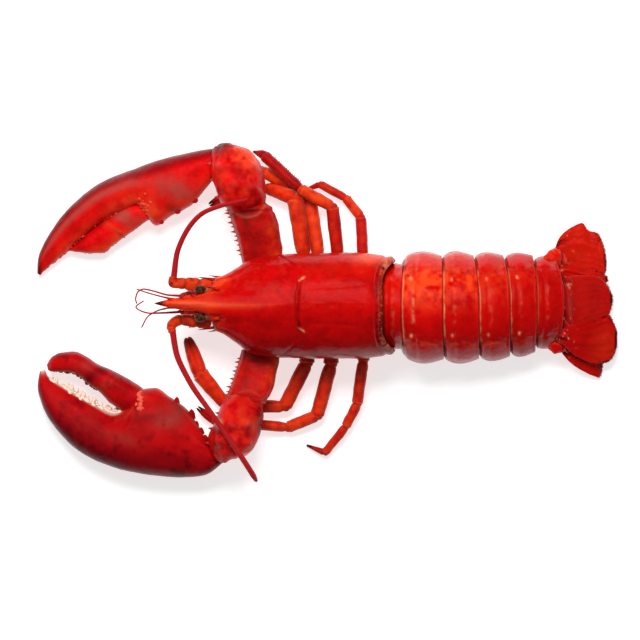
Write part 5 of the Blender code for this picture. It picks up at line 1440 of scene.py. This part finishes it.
def limbOf(name, joints, finish, node, seed, tone, waist=head["waist"], spines=()):
    # one soft tube through its joints, drawn in a little at each of them
    stretches = len(joints) - 1
    shares = np.linspace(0, 1, 26 * stretches)
    row = alongRows(joints, shares)
    ahead = np.gradient(row[:, :3], axis=0)
    ahead /= column(np.linalg.norm(ahead, axis=1))
    across = np.cross(ahead, [0.0, 0.0, 1.0])
    across /= column(np.linalg.norm(across, axis=1))
    up = np.cross(across, ahead)
    nearest = np.round(shares * stretches)
    joint = np.abs(shares * stretches - nearest)
    pinch = bell(joint, 0.10) * (nearest > 0) * (nearest < stretches)
    radius = row[:, 3] * (1 - waist * pinch + 0.05 * bell(joint - 0.25, 0.12))
    radius *= np.sqrt(np.clip(shares * 30, 0.1, 1)) * np.sqrt(np.clip((1 - shares) * 30, 0.1, 1))
    turn = circle(32)
    ring = across[:, None] * column(np.cos(turn)) + up[:, None] * column(np.sin(turn))
    grid = row[:, None, :3] + ring * radius[:, None, None]
    mottle = ripple(grid, 2.6, seed, 2)
    shade = Tone(grid, *tone)
    shade.orange += 0.4 * mottle
    shade.dark += 0.45 * column(pinch) + 0.15 * step(-mottle, 0, 0.6)
    item = meshOf(name, [swell(grid, 0.35 * ripple(grid, 3, seed + 9, 2))], [shade], finish)
    if spines:
        spine = spineShape(hornProfile, 8, (0.1, 0.2, 0.5, 0), (0, 0.9, 0.1, 0))
        grow(item, finish, spines, spine, 0.1, seed)
    handIn(item, node)


for word in words.values():
    buildFeeler(f"feeler_{word}", head["longFeeler"])
    for turn in ("outer", "inner"):
        buildFeeler(f"antennule_{word}_{turn}", head["shortFeeler"])

for number, (side, word) in enumerate(words.items()):
    joints = head[f"feeler_base_{word}"]
    spines = [((x - 1, y + side * r * 0.6, z + r * 0.5), (x - 4.6, y + side * r * 1.05, z + r * 0.6), 0.9)
              for x, y, z, r in joints[1:3]]
    limbOf(f"feelerBase_{word}", joints, "legShell", f"feeler_base_{word}", 300 + number,
           head["feelerBaseTone"], spines=spines)

eyes = {
    "x": -89.4, "y": {right: 8.2, left: -5.3}, "z": 34.4, "radii": (3.0, 2.5, 2.5),
    # x, the share of the way out to the eye, height and radius
    "stalk": [(-83.6, 0.72, 34.2, 1.5), (-85.2, 0.84, 34.3, 1.8), (-87.2, 0.94, 34.35, 1.7)],
    "stalkTone": (0.06, 0.45, 0.5, 0), "stalkWaist": 0.1,
}
mouth = {
    # x, how far from the middle, height and radius
    "leg": [(-70, 5.5, 3.6, 2.4), (-80, 6.2, 7.6, 2.9), (-90, 5.2, 13.6, 2.5), (-97, 4.4, 18.8, 1.8),
            (-99.5, 4.2, 21.6, 0.7)],
    "legTone": (0.1, 0.1, 0.5, 0),
}


def buildEye(side):
    tall, turn = column(np.linspace(0.001, np.pi - 0.001, 40)), circle(48)
    rx, ry, rz = eyes["radii"]
    x, y, z = eyes["x"], eyes["y"][side], eyes["z"]
    grid = np.stack([x - rx * np.cos(tall) + 0 * turn, y + ry * np.sin(tall) * np.cos(turn),
                     z + rz * np.sin(tall) * np.sin(turn)], axis=-1)
    item = meshOf(f"eyeBall_{words[side]}", [grid], [Tone(grid)], "eye")
    handIn(item, f"eye_{words[side]}")


for number, (side, word) in enumerate(words.items()):
    route = [(x, head["shortFeelerY"][side], z, radius) for x, z, radius in head["shortFeelerBase"]]
    limbOf(f"shortFeelerBase_{word}", route, "legShell", f"antennule_base_{word}", 310 + number,
           head["shortFeelerBaseTone"])
    buildEye(side)
    out = eyes["y"][side] - head["middle"]
    route = [(x, head["middle"] + out * share, z, radius) for x, share, z, radius in eyes["stalk"]]
    limbOf(f"eyeStalk_{word}", route, "skin", f"eye_stalk_{word}", 320 + number, eyes["stalkTone"],
           eyes["stalkWaist"])
    route = [(x, head["middle"] + side * out, z, radius) for x, out, z, radius in mouth["leg"]]
    limbOf(f"mouthLeg_{word}", route, "legShell", f"mouth_leg_{word}", 330 + number, mouth["legTone"])
print("head built")


# Underside

under = {
    # x, half width and lowest height
    "breastplate": [(-84, 6, 17), (-78, 8, 12), (-70, 11, 7), (-62, 14, 4.5), (-50, 15, 4), (-30, 15, 4),
                    (-12, 14, 4.5), (0, 12, 7)],
    # x, half width, lowest and highest
    "frontPlate": [(-95.6, 1.8, 23.6, 27.4), (-94, 3.2, 21.6, 28.4), (-90, 4.2, 19.4, 28.8),
                   (-85, 5.0, 18.0, 29.2), (-80, 5.6, 17.4, 30.0)],
    "armRoot": [(-57, 12, 9.0, 4.2), (-58, 17, 10.5, 4.8), (-59, 22.5, 13.5, 5.2), (-59.5, 27, 15, 4.6)],
    "gap": 0.55, "legPlaces": (-58, -37, -30, -20.6, -9),
}


def ovalGrid(x, halfWide, low, high, sides, squareness):
    # upright ovals round the body's midline, one for each x
    turn, power = circle(sides, 0.5), 2 / squareness
    out, rise = signedPower(np.cos(turn), power), signedPower(np.sin(turn), power)
    across, height = column(halfWide) * out, column((low + high) / 2) + column((high - low) / 2) * rise
    return np.stack([column(x) + 0 * out, column(axisAt(x)) + across, height], axis=-1)


def buildBreastplate():
    x = np.linspace(under["breastplate"][0][0], under["breastplate"][-1][0], 130)
    wide, low = smoothKeys(under["breastplate"], x).T
    grid = ovalGrid(x, wide, low, smoothKeys(carapace["bellies"], x) - under["gap"], 90, 3.0)
    across = grid[..., 1] - axisAt(grid[..., 0])
    relief = 0.25 * ripple(grid, 5, 401, 2) - 0.8 * bell(across, 0.7)
    tone = Tone(grid, 0.35)
    tone.pale += 0.4 * ripple(grid, 4, 402, 2)
    for place in under["legPlaces"]:
        relief += 0.9 * bell(grid[..., 0] - place, 3.0) * step(np.abs(across), 5, 9)
        tone.orange += 0.5 * bell(grid[..., 0] - place, 3.4)
    handIn(meshOf("breastplate", [swell(grid, relief)], [tone], "underside"), "thorax")


def buildFrontPlate():
    x = np.linspace(under["frontPlate"][-1][0], under["frontPlate"][0][0], 60)
    grid = ovalGrid(x, *smoothKeys(under["frontPlate"], x).T, 60, 2.6)
    relief = 0.3 * ripple(grid, 3, 411, 2)
    item = meshOf("frontPlate", [swell(grid, relief)], [Tone(grid, 0.1, 0.1, 0.6)], "underside")
    handIn(item, "head_front")


def buildArmRoot(side):
    shares, turn = np.linspace(0, 1, 40), circle(40)
    x, y, z, r = (column(values) for values in alongRows(under["armRoot"], shares).T)
    grid = np.stack([x + r * 1.35 * np.cos(turn), side * (y - r * 0.35 * np.sin(turn)),
                     z + r * np.sin(turn)], axis=-1)
    tone = Tone(grid, orange=0.5)
    tone.orange += 0.4 * ripple(grid, 4, 421, 2)
    tone.pale += 0.5 * column(bell(shares - 0.5, 0.08))
    item = meshOf(f"armRoot_{words[side]}", [swell(grid, 0.3 * ripple(grid, 4, 422, 2))], [tone], "underside")
    handIn(item, f"claw_root_{words[side]}")


buildBreastplate()
buildFrontPlate()
for side in (right, left):
    buildArmRoot(side)
print("underside built")


# Floor

stage = {"reach": 8.0, "darker": 0.60, "lighter": 0.64, "patches": 400, "glow": 0.66}
white = (1.0, 1.0, 1.0, 1.0)


def floorPaint():
    material, paint = newPaint("pale floor")
    cloud = paint.noise(paint.place(), stage["patches"], 1.0)
    grey = paint.blend(cloud, (*[stage["darker"]] * 3, 1.0), (*[stage["lighter"]] * 3, 1.0))
    paint.surface({
        "Base Color": grey, "Roughness": 0.9, "Specular IOR Level": 0.1, "Emission Color": white,
        "Emission Strength": stage["glow"],
    })
    return material


reach = stage["reach"]
sheet = bpy.data.meshes.new("floor")
corners = [(-reach, -reach, 0), (reach, -reach, 0), (reach, reach, 0), (-reach, reach, 0)]
sheet.from_pydata(corners, [], [(0, 1, 2, 3)])
sheet.materials.append(floorPaint())
floor = addObject("floor", sheet)


# Light and camera

# each lamp's place, what it points at, its size and power, and the rays that don't see it
studio = {
    "key": ((-0.12, 0.62, 1.10), (0, 0, 0.02), (0.62, 0.46), 16.5, "visible_glossy"),
    "sheen": ((-0.05, 0.375, 0.95), (-0.05, 0.365, 0), (1.4, 0.42), 2.0, "visible_diffuse"),
    "sky": 0.25, "lens": 500.0, "sensor": 36.0, "frameWidth": 0.320, "centre": (-3.78, -4.07),
}


def addLamp(name):
    place, target, size, power, unseenBy = studio[name]
    data = bpy.data.lights.new(name, "AREA")
    data.shape = "RECTANGLE"
    data.size, data.size_y = size
    data.energy = power
    lamp = addObject(name, data)
    lamp.location = place
    lamp.rotation_euler = (Vector(target) - Vector(place)).to_track_quat("-Z", "Y").to_euler()
    lamp.visible_camera = False
    setattr(lamp, unseenBy, False)


addLamp("key")
addLamp("sheen")
world = bpy.data.worlds.new("soft light")
world.use_nodes = True
world.node_tree.nodes["Background"].inputs["Color"].default_value = white
world.node_tree.nodes["Background"].inputs["Strength"].default_value = studio["sky"]
world.cycles_visibility.glossy = False
bpy.context.scene.world = world
bpy.context.scene.view_settings.view_transform = "Standard"

camera = addObject("camera", bpy.data.cameras.new("camera"))
camera.data.lens = studio["lens"]
camera.data.sensor_width = studio["sensor"]
distance = studio["frameWidth"] * studio["lens"] / studio["sensor"]
camera.location = (studio["centre"][0] * mm, studio["centre"][1] * mm, distance)
bpy.context.scene.camera = camera
print("light and camera set")
